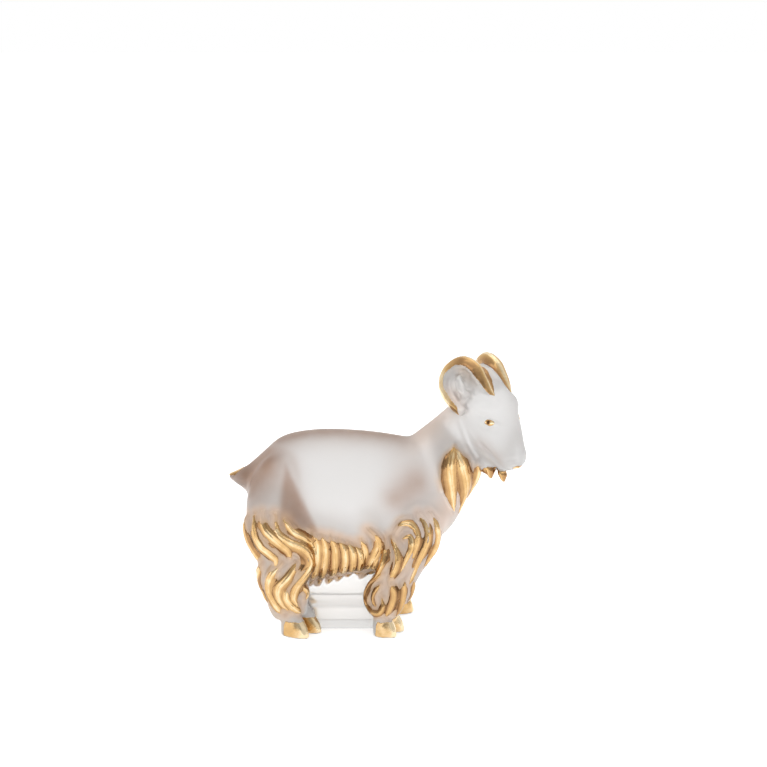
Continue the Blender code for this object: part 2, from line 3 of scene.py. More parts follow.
import bpy
import numpy as np
from mathutils.bvhtree import BVHTree
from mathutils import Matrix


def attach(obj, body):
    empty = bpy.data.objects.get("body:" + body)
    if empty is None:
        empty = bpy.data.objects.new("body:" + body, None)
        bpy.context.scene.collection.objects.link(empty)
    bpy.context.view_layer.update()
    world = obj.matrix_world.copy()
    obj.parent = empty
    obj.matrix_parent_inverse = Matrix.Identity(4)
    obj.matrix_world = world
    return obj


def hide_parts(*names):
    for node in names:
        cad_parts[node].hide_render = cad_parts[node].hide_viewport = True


# a goat in satin cast crystal with gold fired on to it, looking aside; all the shapes below are in millimetres
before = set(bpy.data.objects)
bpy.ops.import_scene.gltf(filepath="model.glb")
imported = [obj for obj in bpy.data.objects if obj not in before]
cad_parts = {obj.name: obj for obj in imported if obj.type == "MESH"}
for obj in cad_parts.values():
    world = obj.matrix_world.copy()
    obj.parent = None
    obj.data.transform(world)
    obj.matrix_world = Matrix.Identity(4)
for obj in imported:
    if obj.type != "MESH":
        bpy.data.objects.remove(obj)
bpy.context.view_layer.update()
mm = 0.001
print("frame loaded", len(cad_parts), "nodes")


# shared shape tools
def smoothCurve(points, count):
    # a cubic through every point, read at evenly spread places
    given = np.asarray(points, float)
    padded = np.vstack([2 * given[0] - given[1], given, 2 * given[-1] - given[-2]])
    along = np.linspace(0, len(given) - 1, count)
    span = np.minimum(along.astype(int), len(given) - 2)
    t = (along - span)[:, None]
    a, b, c, d = (padded[span + k] for k in range(4))
    return 0.5 * ((3 * b - a - 3 * c + d) * t**3 + (2 * a - 5 * b + 4 * c - d) * t**2 + (c - a) * t + 2 * b)


def unit(vectors):
    return vectors / np.maximum(np.linalg.norm(vectors, axis=-1, keepdims=True), 1e-12)


def tubeFaces(rings, sides):
    k = np.arange(sides)
    start = np.arange(rings - 1)[:, None] * sides
    quads = np.stack([start + k, start + (k + 1) % sides, start + sides + (k + 1) % sides, start + sides + k], -1)
    ends = [list(range(sides - 1, -1, -1)), list(range((rings - 1) * sides, rings * sides))]
    return quads.reshape(-1, 4).tolist() + ends


def loft(centres, across, upward, square=1.0, sides=44):
    # point = centre + across * cos + up * sin, with the waves raised to a power for squarer sections
    turn = np.linspace(0, 2 * math.pi, sides, endpoint=False)
    wide, tall = (np.sign(wave) * np.abs(wave) ** (1 / square) for wave in (np.cos(turn), np.sin(turn)))
    points = centres[:, None] + across[:, None] * wide[None, :, None] + upward[:, None] * tall[None, :, None]
    return points.reshape(-1, 3), tubeFaces(len(centres), sides)


def ridge(centres, crests, half, height, root):
    # a crest carried along a path: which way it stands, how wide and high it is and how deep its root goes
    along = unit(np.gradient(centres, axis=0))
    crests = unit(crests - along * np.sum(crests * along, axis=1, keepdims=True))
    return {"centres": centres, "crests": crests, "sideways": np.cross(along, crests), "along": along,
            "half": half, "height": height, "root": root}


def ridgeForm(r, sides=18):
    # section: half width * sin sideways, and crest height or root depth * cos upwards
    turn = np.linspace(0, 2 * math.pi, sides, endpoint=False)
    tall = np.where(np.cos(turn) > 0, r["height"][:, None] * np.abs(np.cos(turn)) ** r.get("keen", 0.3), r["root"][:, None]) * np.cos(turn)
    points = (r["centres"][:, None]
              + (r["half"][:, None] * np.sin(turn))[..., None] * r["sideways"][:, None]
              + tall[..., None] * r["crests"][:, None])
    return points.reshape(-1, 3), tubeFaces(len(r["centres"]), sides)


def leafShape(share, blunt=0.55):
    # narrow at the root, full in the middle, fine at the tip
    return np.sin(math.pi * (0.03 + 0.94 * share) ** 0.8) ** blunt


def fuse(forms, voxel, rounds):
    # the forms as one skin: voxel remesh, then each point is drawn towards its neighbours' mean
    points, faces, first = [], [], 0
    for verts, polys in forms:
        points.append(verts)
        faces += [[index + first for index in poly] for poly in polys]
        first += len(verts)
    mesh = bpy.data.meshes.new("forms")
    mesh.from_pydata((np.vstack(points) * mm).tolist(), [], faces)
    made = bpy.data.objects.new("forms", mesh)
    bpy.context.scene.collection.objects.link(made)
    remesh = made.modifiers.new("run together", "REMESH")
    remesh.mode = "VOXEL"
    remesh.voxel_size = voxel * mm
    bpy.context.view_layer.update()
    skin = bpy.data.meshes.new_from_object(made.evaluated_get(bpy.context.evaluated_depsgraph_get()))
    bpy.data.objects.remove(made)
    verts = np.empty(len(skin.vertices) * 3)
    skin.vertices.foreach_get("co", verts)
    verts = verts.reshape(-1, 3) / mm
    edges = np.empty(len(skin.edges) * 2, np.int32)
    skin.edges.foreach_get("vertices", edges)
    skin.calc_loop_triangles()
    tris = np.empty(len(skin.loop_triangles) * 3, np.int32)
    skin.loop_triangles.foreach_get("vertices", tris)
    bpy.data.meshes.remove(skin)
    return drawSmooth(verts, edges.reshape(-1, 2), rounds), tris.reshape(-1, 3), edges.reshape(-1, 2)


def drawSmooth(values, edges, rounds):
    ends = np.concatenate([edges[:, 0], edges[:, 1]])
    others = np.concatenate([edges[:, 1], edges[:, 0]])
    degree = np.maximum(np.bincount(ends, minlength=len(values)), 1)[:, None]
    values = values.copy()
    for _ in range(rounds):
        mean = np.stack([np.bincount(ends, values[others, k], len(values)) for k in range(values.shape[1])], 1) / degree
        values += 0.5 * (mean - values)
    return values


def pointNormals(verts, tris):
    corner = verts[tris]
    flat = np.cross(corner[:, 1] - corner[:, 0], corner[:, 2] - corner[:, 0])
    total = np.stack([np.bincount(tris.ravel(), np.repeat(flat[:, k], 3), len(verts)) for k in range(3)], 1)
    return unit(total)


def ripple(points, size, seed):
    # a smooth repeatable unevenness from -1 to 1, with lumps of about this size
    turns = np.random.default_rng(seed).normal(size=(3, 5, 3)) / size
    waves = [np.sin(points @ turn.T * 2.2 + k).sum(1) for k, turn in enumerate(turns)]
    return np.tanh((waves[0] + waves[1] * np.cos(waves[2])) / 3)


# the goat's flesh: trunk, neck, head, legs and tail before any hair
flesh = {
    "voxel": 0.6, "rounds": 22,
    # x, height of the middle, half height, half width
    "torso": ((-42, 46, 2, 2), (-40.5, 45.5, 7, 6.5), (-36, 45, 12.2, 11), (-30, 44, 17.8, 14.6), (-20, 43.5, 20.2, 16.4),
              (-8, 43, 20.6, 16.8), (4, 42.5, 19.8, 15.8), (14, 42.5, 17.6, 13.6), (22, 43, 12.6, 10.4), (26.5, 43.5, 7, 6.6),
              (28.5, 43.5, 2, 2)),
    "skirt": ((-26, 28, 2, 3), (-24, 25.6, 8.8, 9.5), (-19, 25.7, 9.3, 13), (-11, 26.7, 8.3, 13.8), (-3, 27.4, 7.6, 13),
              (2, 28, 7, 11.4), (4, 28, 2, 3)),
    # x, y on the left, z, half depth, half width
    "neck": ((12, 0, 44, 15, 11.5), (21.5, 0, 54.5, 12.6, 10.6), (27, -0.6, 61.5, 10.8, 9), (31, -2, 67.5, 9, 8), (34, -3.5, 71.5, 6, 6)),
    "haunch": ((-28, 7.5, 57, 4, 4), (-29.5, 8.5, 52, 8.5, 7), (-31, 9.5, 43, 10.6, 8), (-31, 10.5, 33, 10.4, 7.6), (-30, 11, 25, 8.4, 6.6)),
    "hind": ((-31, 10.5, 34, 9.6, 7), (-29.5, 11.5, 24, 9, 6.6), (-29, 12, 15, 7.2, 6), (-28.6, 12.4, 10, 6.8, 5.6), (-27.6, 12.8, 5.2, 5.2, 5)),
    "fore": ((15.5, 7.5, 40, 8, 6.5), (11.5, 10.5, 31, 8.4, 6.4), (7, 12, 21, 7, 6), (3.4, 12.4, 12, 5.8, 5.4), (2.2, 12.8, 5.2, 3.8, 4.7)),
    # how far each foot stands off, along the body
    "stance": {("hind", -1): 0.0, ("hind", 1): -2.0, ("fore", -1): 0.0, ("fore", 1): 3.5},
    # x, y, z, half width
    "tail": ((-27, 0, 52.0, 11.5), (-34, 0, 50.4, 9.4), (-39.5, 0, 49.0, 6.4), (-44, 0, 48.8, 3.2), (-47.6, 0, 49.0, 0.8)),
}
head = {
    "middle": (36.4, -6.0, 67.6), "yaw": math.radians(45), "pitch": math.radians(57),
    # forward, up of the middle, half height, half width
    "skull": ((-12.5, 1, 2, 2), (-11.5, 0.4, 5.4, 5.6), (-8, 0.1, 8.4, 8.6), (-3, 0, 10.1, 9.1), (3, -0.7, 9.5, 8.1), (8, -0.6, 8.5, 6.5),
              (11.6, 0.3, 6.8, 5.2), (14.2, 1.1, 5.4, 4.7), (16.1, 1.3, 3.9, 3.5), (17.0, 1.5, 1.5, 1.4)),
    # forward, up of the middle, half height, half width of the glass between the horns
    "crown": ((-2.5, 4.5, 2, 4), (-5, 4.4, 4.6, 6.2), (-10, 4.2, 4.9, 6.6), (-15, 3.6, 4.3, 6.4), (-18.4, 2.6, 2.0, 5.4)),
}


def trunkForm(stations, square):
    rows = smoothCurve(stations, 6 * len(stations))
    nothing = np.zeros(len(rows))
    centres = np.stack([rows[:, 0], nothing, rows[:, 1]], 1)
    return loft(centres, rows[:, 3:4] * (0.0, 1, 0), rows[:, 2:3] * (0.0, 0, 1), square)


def limbForm(stations, side, step=0.0):
    rows = smoothCurve(stations, 7 * len(stations))
    share = np.linspace(0, 1, len(rows))
    centres = np.stack([rows[:, 0] + step * share, side * rows[:, 1], rows[:, 2]], 1)
    along = unit(np.gradient(centres, axis=0))
    across = unit(np.cross(along, (0.0, 1, 0)))
    return loft(centres, across * rows[:, 3:4], np.cross(across, along) * rows[:, 4:5])


def headAxes():
    level = np.array((math.cos(head["yaw"]), -math.sin(head["yaw"]), 0))
    left = np.array((math.sin(head["yaw"]), math.cos(head["yaw"]), 0))
    upright = np.array((0, 0, 1.0))
    forward = level * math.cos(head["pitch"]) - upright * math.sin(head["pitch"])
    return np.array((forward, left, level * math.sin(head["pitch"]) + upright * math.cos(head["pitch"])))


headFrame = headAxes()


def onHead(points):
    # forward, left and up in the head's own frame
    return np.asarray(head["middle"]) + np.asarray(points, float) @ headFrame


def headForm(part):
    rows = smoothCurve(head[part], 7 * len(head[part]))
    centres = onHead(np.stack([rows[:, 0], np.zeros(len(rows)), rows[:, 1]], 1))
    return loft(centres, rows[:, 3:4] * headFrame[1], rows[:, 2:3] * headFrame[2])


def tailForm():
    rows = smoothCurve(flesh["tail"], 24)
    half = rows[:, 3]
    return ridgeForm(ridge(rows[:, :3], np.tile((0.0, 0, 1), (24, 1)), half, half * 0.72, half * 1.05), 28)


def fleshForms():
    forms = [trunkForm(flesh["torso"], 1.15), trunkForm(flesh["skirt"], 1.6), limbForm(flesh["neck"], 1), tailForm()]
    for side in (-1, 1):
        forms.append(limbForm(flesh["haunch"], side))
        forms += [limbForm(flesh[leg], side, flesh["stance"][leg, side]) for leg in ("hind", "fore")]
    return forms


fleshPoints, fleshTris, fleshEdges = fuse(fleshForms(), flesh["voxel"], flesh["rounds"])
fleshTree = BVHTree.FromPolygons(fleshPoints.tolist(), fleshTris.tolist())
print("flesh run together", len(fleshPoints), "points")


# hair locks on the flanks, drawn on the side view
# each: gilded piece it belongs to, leg it grows on, width, height, share of the width that is gilded, route of x, z from root to tip
hair = {
    "rootDepth": 2.2, "lift": 0.25, "rings": 34,
    # how far the brush missed, as a share of the half width
    "miss": {"shoulder": 0.7, "upper": 0.7, "elbow": 0.6, "thigh": 0.55, "hock": 0.5, "knee": 0.35},
    # how much narrower the gold is laid on the forelegs
    "narrower": {"shoulder": 0.8, "upper": 0.8, "elbow": 0.85},
    # how much browner than the hooves the gold is
    "toneAndHighlight": {"shoulder": 0.16, "upper": 0.16, "elbow": 0.14, "thigh": 0.14, "hock": 0.12, "knee": 0.3, "throat": 0.12, "fringe": 0.13},
    # how fine the ends are drawn
    "point": {"throat": 0.95, "fringe": 0.85},
    "locks": (
        ("thigh_front", "hind", 5.9, 2.0, 0.74, ((-32.4, 40.7), (-31.6, 34.8), (-28.1, 31.5), (-23.9, 28.5), (-22.1, 24.2), (-23.9, 20.2), (-26.1, 16.6), (-26.8, 12.6), (-24.8, 9.3))),
        ("thigh_front", "hind", 4.1, 1.4, 0.74, ((-29.4, 38.7), (-26.6, 34.4), (-22.9, 31.2), (-19.6, 26.0), (-20.3, 20.8))),
        ("thigh_middle", "hind", 4.9, 1.8, 0.74, ((-36.5, 40.8), (-35.3, 36.1), (-33.1, 33.4), (-30.8, 31.0), (-28.4, 28.4), (-27.4, 25.4))),
        ("thigh_rear", "hind", 4.6, 1.7, 0.74, ((-38.4, 40.0), (-38.1, 34.0), (-36.3, 30.3), (-33.9, 27.9), (-32.0, 25.6), (-32.2, 22.8))),
        ("thigh_rear", "hind", 4.5, 1.5, 0.74, ((-41.0, 38.8), (-41.0, 34.4), (-40.0, 30.8), (-38.2, 27.0), (-36.6, 23.6))),
        ("hock_rear", "hind", 4.9, 1.7, 0.74, ((-30.1, 24.6), (-33.1, 20.4), (-33.7, 15.6), (-31.9, 10.6), (-29.4, 7.4))),
        ("hock_front", "hind", 4.5, 1.7, 0.74, ((-25.5, 24.8), (-28.3, 20.2), (-30.9, 16.6), (-30.9, 12.6), (-28.1, 8.8))),
        ("hock_front", "hind", 3.8, 1.5, 0.74, ((-28.6, 17.2), (-28.9, 12.9), (-26.6, 9.4), (-24.4, 7.8))),
        ("hock_front", "hind", 3.4, 1.3, 0.74, ((-24.6, 16.8), (-23.0, 14.2), (-23.2, 11.6))),
        ("hock_rear", "hind", 4.2, 1.3, 0.74, ((-36.4, 24.0), (-37.0, 19.6), (-36.4, 15.0), (-34.2, 10.4))),
        ("fringe_1", None, 4.4, 2.0, 0.92, ((-20.6, 33.6), (-18.9, 30.0), (-18.8, 25.5), (-20.0, 20.6), (-21.9, 14.6))),
        ("fringe_1", None, 3.4, 1.9, 0.92, ((-17.6, 33.2), (-16.3, 29.2), (-16.4, 24.4), (-17.6, 19.2), (-19.3, 14.4))),
        ("fringe_2", None, 3.8, 2.0, 0.92, ((-15.0, 32.9), (-13.4, 29.0), (-13.3, 24.2), (-14.4, 19.6), (-16.2, 14.9))),
        ("fringe_3", None, 3.6, 1.9, 0.92, ((-12.2, 31.9), (-10.5, 28.2), (-10.3, 24.0), (-11.3, 20.2), (-13.0, 16.0))),
        ("fringe_4", None, 3.4, 1.8, 0.92, ((-9.4, 30.8), (-7.9, 27.2), (-7.8, 23.6), (-8.7, 20.4), (-10.2, 17.0))),
        ("fringe_5", None, 3.0, 1.7, 0.92, ((-7.0, 30.0), (-5.6, 26.4), (-5.6, 23.2), (-6.3, 20.4), (-7.6, 18.0))),
        ("elbow", None, 4.4, 1.7, 0.80, ((-3.2, 34.8), (-0.4, 32.2), (0.2, 29.6), (-0.8, 26.2), (-2.6, 23.0), (-4.5, 18.9), (-5.6, 16.0))),
        ("elbow", None, 3.1, 1.1, 0.80, ((-5.2, 31.4), (-4.0, 27.6), (-4.6, 23.6), (-5.8, 20.6))),
        ("elbow", "fore", 3.4, 1.3, 0.80, ((2.0, 28.2), (0.2, 24.2), (-1.8, 20.6), (-3.2, 17.2))),
        ("shoulder_front", "fore", 4.2, 1.8, 0.68, ((16.0, 40.0), (18.1, 35.6), (17.9, 30.4), (15.3, 25.0), (12.4, 20.5))),
        ("shoulder_middle", "fore", 3.9, 1.7, 0.68, ((12.8, 40.0), (15.2, 36.1), (15.3, 31.4), (13.0, 26.0), (10.6, 20.6), (9.2, 16.6))),
        ("shoulder_middle", "fore", 3.6, 1.7, 0.72, ((5.6, 33.0), (8.0, 36.4), (11.2, 36.0), (12.6, 32.2), (11.2, 27.2), (9.2, 22.0))),
        ("shoulder_rear", "fore", 3.4, 1.6, 0.72, ((8.0, 31.8), (10.4, 32.8), (10.8, 29.8), (9.4, 26.0), (7.2, 21.2))),
        ("upper_arm", "fore", 3.6, 1.7, 0.72, ((4.6, 32.6), (6.2, 29.4), (6.6, 25.6), (5.4, 21.4), (3.4, 17.6))),
        ("upper_arm", "fore", 3.4, 1.6, 0.72, ((2.6, 31.2), (3.2, 27.2), (2.4, 23.4), (0.4, 19.4), (-1.6, 16.2))),
        ("knee_rear", "fore", 3.0, 1.7, 0.85, ((2.4, 20.6), (-0.8, 17.4), (-2.7, 12.8), (-1.8, 8.8), (0.8, 7.9), (2.1, 10.8), (1.3, 14.4))),
        ("knee_rear", "fore", 2.2, 1.2, 0.82, ((1.4, 17.4), (-0.3, 14.2), (-0.8, 11.4), (0.2, 9.6))),
        ("knee_front", "fore", 3.2, 1.7, 0.82, ((4.4, 18.8), (5.1, 14.4), (3.9, 9.8), (2.6, 6.8))),
        ("knee_front", "fore", 3.2, 1.5, 0.72, ((8.4, 19.0), (7.8, 14.2), (6.6, 9.4), (5.4, 6.4))),
        ("knee_front", "fore", 3.0, 1.3, 0.72, ((11.2, 19.4), (10.2, 14.4), (8.8, 9.4))),
        ("throat_rear", None, 6.0, 1.6, 0.95, ((24.4, 61.2), (22.9, 54.0), (23.1, 46.2), (24.4, 37.4))),
        ("throat_front", None, 6.4, 1.8, 0.95, ((24.9, 60.2), (26.8, 52.4), (27.3, 45.4), (25.3, 37.0))),
        ("throat_front", None, 3.9, 1.3, 0.95, ((31.6, 55.4), (31.4, 51.4), (30.2, 47.2), (28.2, 41.6))),
    ),
}


def stanceShift(leg, side, z):
    if leg is None:
        return np.zeros_like(z)
    top, foot = flesh[leg][0][2], flesh[leg][-1][2]
    return flesh["stance"][leg, side] * np.clip((top - z) / (top - foot), 0, 1)


def onFlank(x, z, side):
    # where rays from beside the goat meet its flesh; below the hem the last depth is kept, drawn in a little
    hits, turned, last = [], [], None
    for px, pz in zip(x, z):
        hit, normal, _, _ = fleshTree.ray_cast((px, side * 60, pz), (0, -side, 0))
        if hit is None or hit.y * side < 6:
            if last is None:
                hit, normal, _, _ = fleshTree.find_nearest((px, side * 12, pz))
            else:
                hit, normal = (px, last[0][1] - side * 0.12, pz), last[1]
        last = (tuple(hit), tuple(normal))
        hits.append(last[0])
        turned.append(last[1])
    return np.array(hits), np.array(turned)


def flankLock(lock, side):
    name, leg, width, height, gilded, route = lock
    line = smoothCurve(route, hair["rings"])
    points, turned = onFlank(line[:, 0] + stanceShift(leg, side, line[:, 1]), line[:, 1], side)
    links = np.stack([np.arange(len(points) - 1), np.arange(1, len(points))], 1)
    turned = unit(drawSmooth(turned, links, 12))
    points[:, 1] = drawSmooth(points, links, 6)[:, 1]
    share = np.linspace(0, 1, len(points))
    shape = leafShape(share, hair["point"].get(name.split("_")[0], 0.6))
    made = ridge(points + hair["lift"] * turned, turned, width / 2 * shape + 0.12, height * shape, np.full(len(points), hair["rootDepth"]))
    tip = 14 if "fringe" in name else 5  # how soon the gold gives out at the tip
    gilded = gilded * hair["narrower"].get(name.split("_")[0], 1.0)
    made["gilded"] = gilded * np.clip(np.minimum(share * 5, (1 - share) * tip), 0, 1)
    made["miss"] = hair["miss"].get(name.split("_")[0], 0.1)
    made["toneAndHighlight"] = hair["toneAndHighlight"].get(name.split("_")[0], 0.0)
    made["step"] = np.linalg.norm(np.diff(points, axis=0), axis=1).mean()
    made["piece"] = f"gold_{name}_{'right' if side < 0 else 'left'}"
    return made


locks = [flankLock(lock, side) for side in (-1, 1) for lock in hair["locks"]]
print("hair laid on", len(locks), "locks")


# horns, ears, beard, hooves and the clear block
horns = {
    "route": ((-4.0, 3.8, 8.3), (-7.8, 4.6, 7.6), (-12.2, 5.1, 6.8), (-16.4, 5.4, 5.6), (-19.1, 6.0, 3.4), (-19.4, 7.0, 0.0),
              (-18.2, 8.0, -2.6), (-15.6, 9.0, -3.7), (-12.2, 9.8, -3.2), (-8.4, 10.4, -1.7), (-4.6, 10.8, 0.7)),
    "curl": (-13.0, 7.2, 1.4), "baseRadius": 3.3, "tipRadius": 1.7, "webThickness": 2.4,
    "ear": ((-9.4, 8.6, 2.0), (-11.8, 9.5, 2.6), (-14, 9.7, 3.0), (-16.4, 8.7, 3.3)), "earWidth": 3.8, "earThickness": 4.2,
    # grooves along the ear's two edges and down its middle: route, width, depth
    "earGrooves": ((((-8.6, 8.2, 4.0), (-11.4, 8.6, 5.2), (-14.2, 8.6, 5.4), (-16.6, 8.0, 4.6)), 0.6, 1.0),
                   (((-9.2, 9.0, 0.0), (-11.8, 9.6, 0.1), (-14.2, 9.6, 0.6), (-16.6, 8.4, 1.8)), 0.6, 1.0),
                   (((-10.6, 11.4, 3.1), (-12.6, 11.8, 3.5), (-14.6, 11.4, 3.7)), 0.5, 0.7)),
}
beard = {"plain": (7.4, -3.0, -6.6), "beard_rear": (9.8, -1.9, -5.9), "beard_front": (12.4, 0.4, -3.6), "drop": (0.8, -0.4, -6.6), "radius": 1.8}
hooves = {
    "at": {"hind": -25.4, "fore": 2.8}, "out": 13.2, "height": 8.4, "toeWidth": 5.2, "cleft": 0.9, "splay": 0.12,
    "reach": {"hind": 6.4, "fore": 4.8}, "turn": {"hind": math.radians(32), "fore": math.radians(20)},
}
block = {
    "ends": (-27, 5), "ease": 0.5,
    # height and half width: the slab, a soft shoulder and the web above it
    "levels": ((0, 8.45), (7.3, 8.45), (7.6, 8.0), (8.3, 7.5), (9.4, 7.0), (11.5, 6.65), (14, 6.55), (24, 6.55)),
}


def mirrored(points, side):
    return onHead(np.asarray(points, float) * (1, side, 1))


def hornRidge(side, word):
    centres = smoothCurve(mirrored(horns["route"], side), 60)
    radius = np.linspace(1, 0, 60) ** 0.8 * (horns["baseRadius"] - horns["tipRadius"]) + horns["tipRadius"]
    radius *= np.clip(0.1 + np.linspace(0, 1, 60) / 0.3, 0, 1)  # the base ends in a point on the brow
    made = ridge(centres, centres - mirrored([horns["curl"]], side), radius * 0.86, radius * 1.1, radius * 0.8)
    share = np.linspace(0, 1, 60)
    made["gilded"] = 1.3 * np.clip(np.minimum((share - 0.01) * 12, (1 - share) * 14), 0, 1)
    # paler along the outer rim of the curl: a painted highlight
    made["toneAndHighlight"] = np.interp(share, (0, 0.3, 0.5, 0.6, 0.85, 1), (-0.05, 0.12, -0.1, -0.45, -0.45, -0.05))
    made["piece"] = f"gold_horn_{word}"
    return made


def hornWeb(side):
    # the thin glass in the curl: rings that go from the middle out to the horn's line, over its edge and back
    rim = smoothCurve(mirrored(horns["route"], side), 60)[9:-3]
    hub = mirrored([horns["curl"]], side)[0]
    half = horns["webThickness"] / 2 * headFrame[1]
    rings = [hub + (rim - hub) * reach + half * lift for reach, lift in ((0.03, 1), (0.5, 1), (1, 1), (1, -1), (0.5, -1), (0.03, -1))]
    return np.vstack(rings), tubeFaces(6, len(rim))


def earForm(side):
    centres = smoothCurve(mirrored(horns["ear"], side), 24)
    shape = leafShape(np.linspace(0, 1, 24), 0.7)
    outward = np.tile(side * headFrame[1] + 0.4 * headFrame[2], (24, 1))
    thick = horns["earThickness"] / 2 * shape
    return ridgeForm(ridge(centres, outward, horns["earWidth"] / 2 * shape, thick, thick))


def tuftRidge(name):
    share = np.linspace(0, 1, 20)
    centres = onHead([beard[name]]) + np.outer(share, beard["drop"])
    radius = beard["radius"] * smoothCurve(np.array((0.9, 1, 0.95, 0.7, 0.25))[:, None], 20)[:, 0]
    made = ridge(centres, np.tile(-headFrame[1], (20, 1)), radius * 0.9, radius, radius)
    made["gilded"] = 0.95 * np.clip((share - 0.42) * 6, 0, 1) - 0.05
    made["toneAndHighlight"] = 0.15
    made["allRound"] = -1.3
    made["piece"] = f"gold_{name}"
    return made


def toeRidge(leg, side, which, word):
    turn = side * hooves["turn"][leg]
    ahead = np.array((math.cos(turn), math.sin(turn), 0))
    beside = np.array((-math.sin(turn), math.cos(turn), 0))
    foot = np.array((hooves["at"][leg] + flesh["stance"][leg, side], side * hooves["out"], 0))
    middle = foot + beside * which * (hooves["toeWidth"] + hooves["cleft"]) / 2
    rows = smoothCurve(((1.0, 0.3, 0.8), (0.5, 0.8, 0.92), (0.32, 0.93, 0.97), (0.1, 1, 1), (0, 0.99, 1)), 22)
    centres = middle + np.outer(rows[:, 0] * hooves["height"], (0, 0, 1.0))
    pointing = np.tile(ahead + beside * which * hooves["splay"], (22, 1))
    made = ridge(centres, pointing, rows[:, 2] * hooves["toeWidth"] / 2, rows[:, 1] * hooves["reach"][leg], np.full(22, hooves["reach"][leg] * 0.7))
    made["gilded"] = np.clip((0.62 - rows[:, 0]) * 3, -1, 0.8)
    made["allRound"] = -0.3  # how far behind its middle the toe is gilded
    made["toneAndHighlight"] = -0.28
    made["keen"] = 0.0  # round in front
    made["piece"] = f"gold_{leg}_hoof_{'right' if side < 0 else 'left'}_{word}"
    return made


def blockForm():
    # rings of eight points, one at each level, with the four upright edges eased
    ease = block["ease"]
    low, high = block["ends"]
    rings = []
    for z, half in block["levels"]:
        inner = half - ease
        rings.append([(low + ease, -half, z), (high - ease, -half, z), (high, -inner, z), (high, inner, z),
                      (high - ease, half, z), (low + ease, half, z), (low, inner, z), (low, -inner, z)])
    return np.array(rings, float).reshape(-1, 3), tubeFaces(len(rings), 8)


face = {
    # routes in the head's frame, on the left; width and height of each swelling
    "eye": ((0.9, 8.8, 4.4), (1.9, 7.8, 5.7), (2.9, 6.7, 7.0)), "eyeSize": (2.3, 0.5), "eyeShift": (0, 0.5, -1.2), "pupilAt": 0.42,
    "muzzle": ((16.2, -1.9, 2.2), (16.6, -0.6, 2.6), (16.6, 0.8, 2.9)), "muzzleSize": (2.2, 0.4),
    "brow": ((-1.4, 1.2, 9.9), (-2.6, 5.2, 8.4), (-4.0, 7.9, 5.4), (-5.0, 9.2, 2.0)), "browSize": (4.6, 0.5),
    "cheek": ((-4.0, 8.8, -4.0), (1.0, 7.9, -4.8), (5.6, 6.6, -5.0), (9.6, 5.0, -4.2)), "cheekSize": (6.0, 0.7),
    "jawFrom": -7.0, "jawDepth": 0.6,
    # grooves: route, width, depth
    "grooves": ((((16.0, 2.4, -0.9), (13.0, 4.4, -1.2), (9.4, 6.0, -1.6), (6.0, 7.4, -2.0)), 0.8, 0.5),
                (((-1.6, 9.0, 4.2), (0.6, 7.6, 7.0), (3.4, 5.4, 8.6)), 0.9, 0.35),
                (((1.6, 9.2, 2.6), (3.6, 8.2, 4.6), (5.0, 6.4, 6.4)), 0.9, 0.3),
                (((15.2, 2.6, 4.4), (14.6, 3.6, 3.2)), 0.6, 0.45)),
}


def faceRidge(route, size, side, blunt):
    # a swelling that follows the skull's own surface
    line = smoothCurve(mirrored(route, side), 24)
    found = [skullTree.find_nearest(point) for point in line.tolist()]
    seat, out = (np.array([tuple(f[k]) for f in found]) for k in (0, 1))
    shape = np.sin(math.pi * (0.02 + 0.96 * np.linspace(0, 1, 24))) ** blunt
    return ridge(seat, out, size[0] / 2 * shape + 0.05, size[1] * shape + 0.02, np.full(24, 1.5))


def tailRidge():
    rows = smoothCurve(flesh["tail"], 24)[15:]
    half = rows[:, 3]
    made = ridge(rows[:, :3], np.tile((0.0, 0, 1), (len(rows), 1)), half, half * 0.72, half * 1.05)
    made["gilded"] = 0.95 * np.clip(np.linspace(-0.1, 1.6, len(rows)), -0.2, 1)
    made["piece"] = "gold_tail_tip"
    return made


sides = ((-1, "right"), (1, "left"))
skullPoints, skullFaces = headForm("skull")
skullTree = BVHTree.FromPolygons(skullPoints.tolist(), skullFaces)
eyes = [faceRidge(np.array(face["eye"]) + (np.array(face["eyeShift"]) if side > 0 else 0), face["eyeSize"], side, 0.8) for side, _ in sides]
for eye, (side, word) in zip(eyes, sides):
    eye["gilded"] = np.full(24, 1.05)
    eye["toneAndHighlight"] = -0.15
    eye["piece"] = f"gold_eye_{word}"
muzzle = faceRidge(face["muzzle"], face["muzzleSize"], 1, 0.6)
muzzle["gilded"] = np.full(24, 1.0)
muzzle["piece"] = "gold_muzzle"
swellings = [faceRidge(face[part], face[part + "Size"], side, 1.0) for side, _ in sides for part in ("brow", "cheek")]
hornRidges = [hornRidge(side, word) for side, word in sides]
tufts = [tuftRidge(name) for name in ("beard_rear", "beard_front")]
plainTuft = tuftRidge("plain")  # glass with no gold on it
toes = [toeRidge(leg, side, which, word) for leg in ("hind", "fore") for side, _ in sides
        for which, word in ((side, "outer"), (-side, "inner"))]
ridges = locks + hornRidges + tufts + toes + eyes + [muzzle, tailRidge()]
forms = [(fleshPoints, fleshTris.tolist()), (skullPoints, skullFaces), headForm("crown")] + [ridgeForm(r) for r in ridges + swellings + [plainTuft]]
forms += [hornWeb(side) for side, _ in sides] + [earForm(side) for side, _ in sides]
forms.append(blockForm())
casting = {"voxel": 0.52, "rounds": 2}
points, tris, edges = fuse(forms, casting["voxel"], casting["rounds"])
points[:, 2] = np.where(points[:, 2] < 0.3, 0, points[:, 2])
turned = pointNormals(points, tris)


def pressGroove(route, width, depth):
    # depth * exp(-(distance / width)^2), into the glass
    gap = np.full(len(points), 9.0)
    for place in smoothCurve(route, 40):
        gap = np.minimum(gap, np.linalg.norm(points - place, axis=1))
    return depth * np.exp(-((gap / width) ** 2))


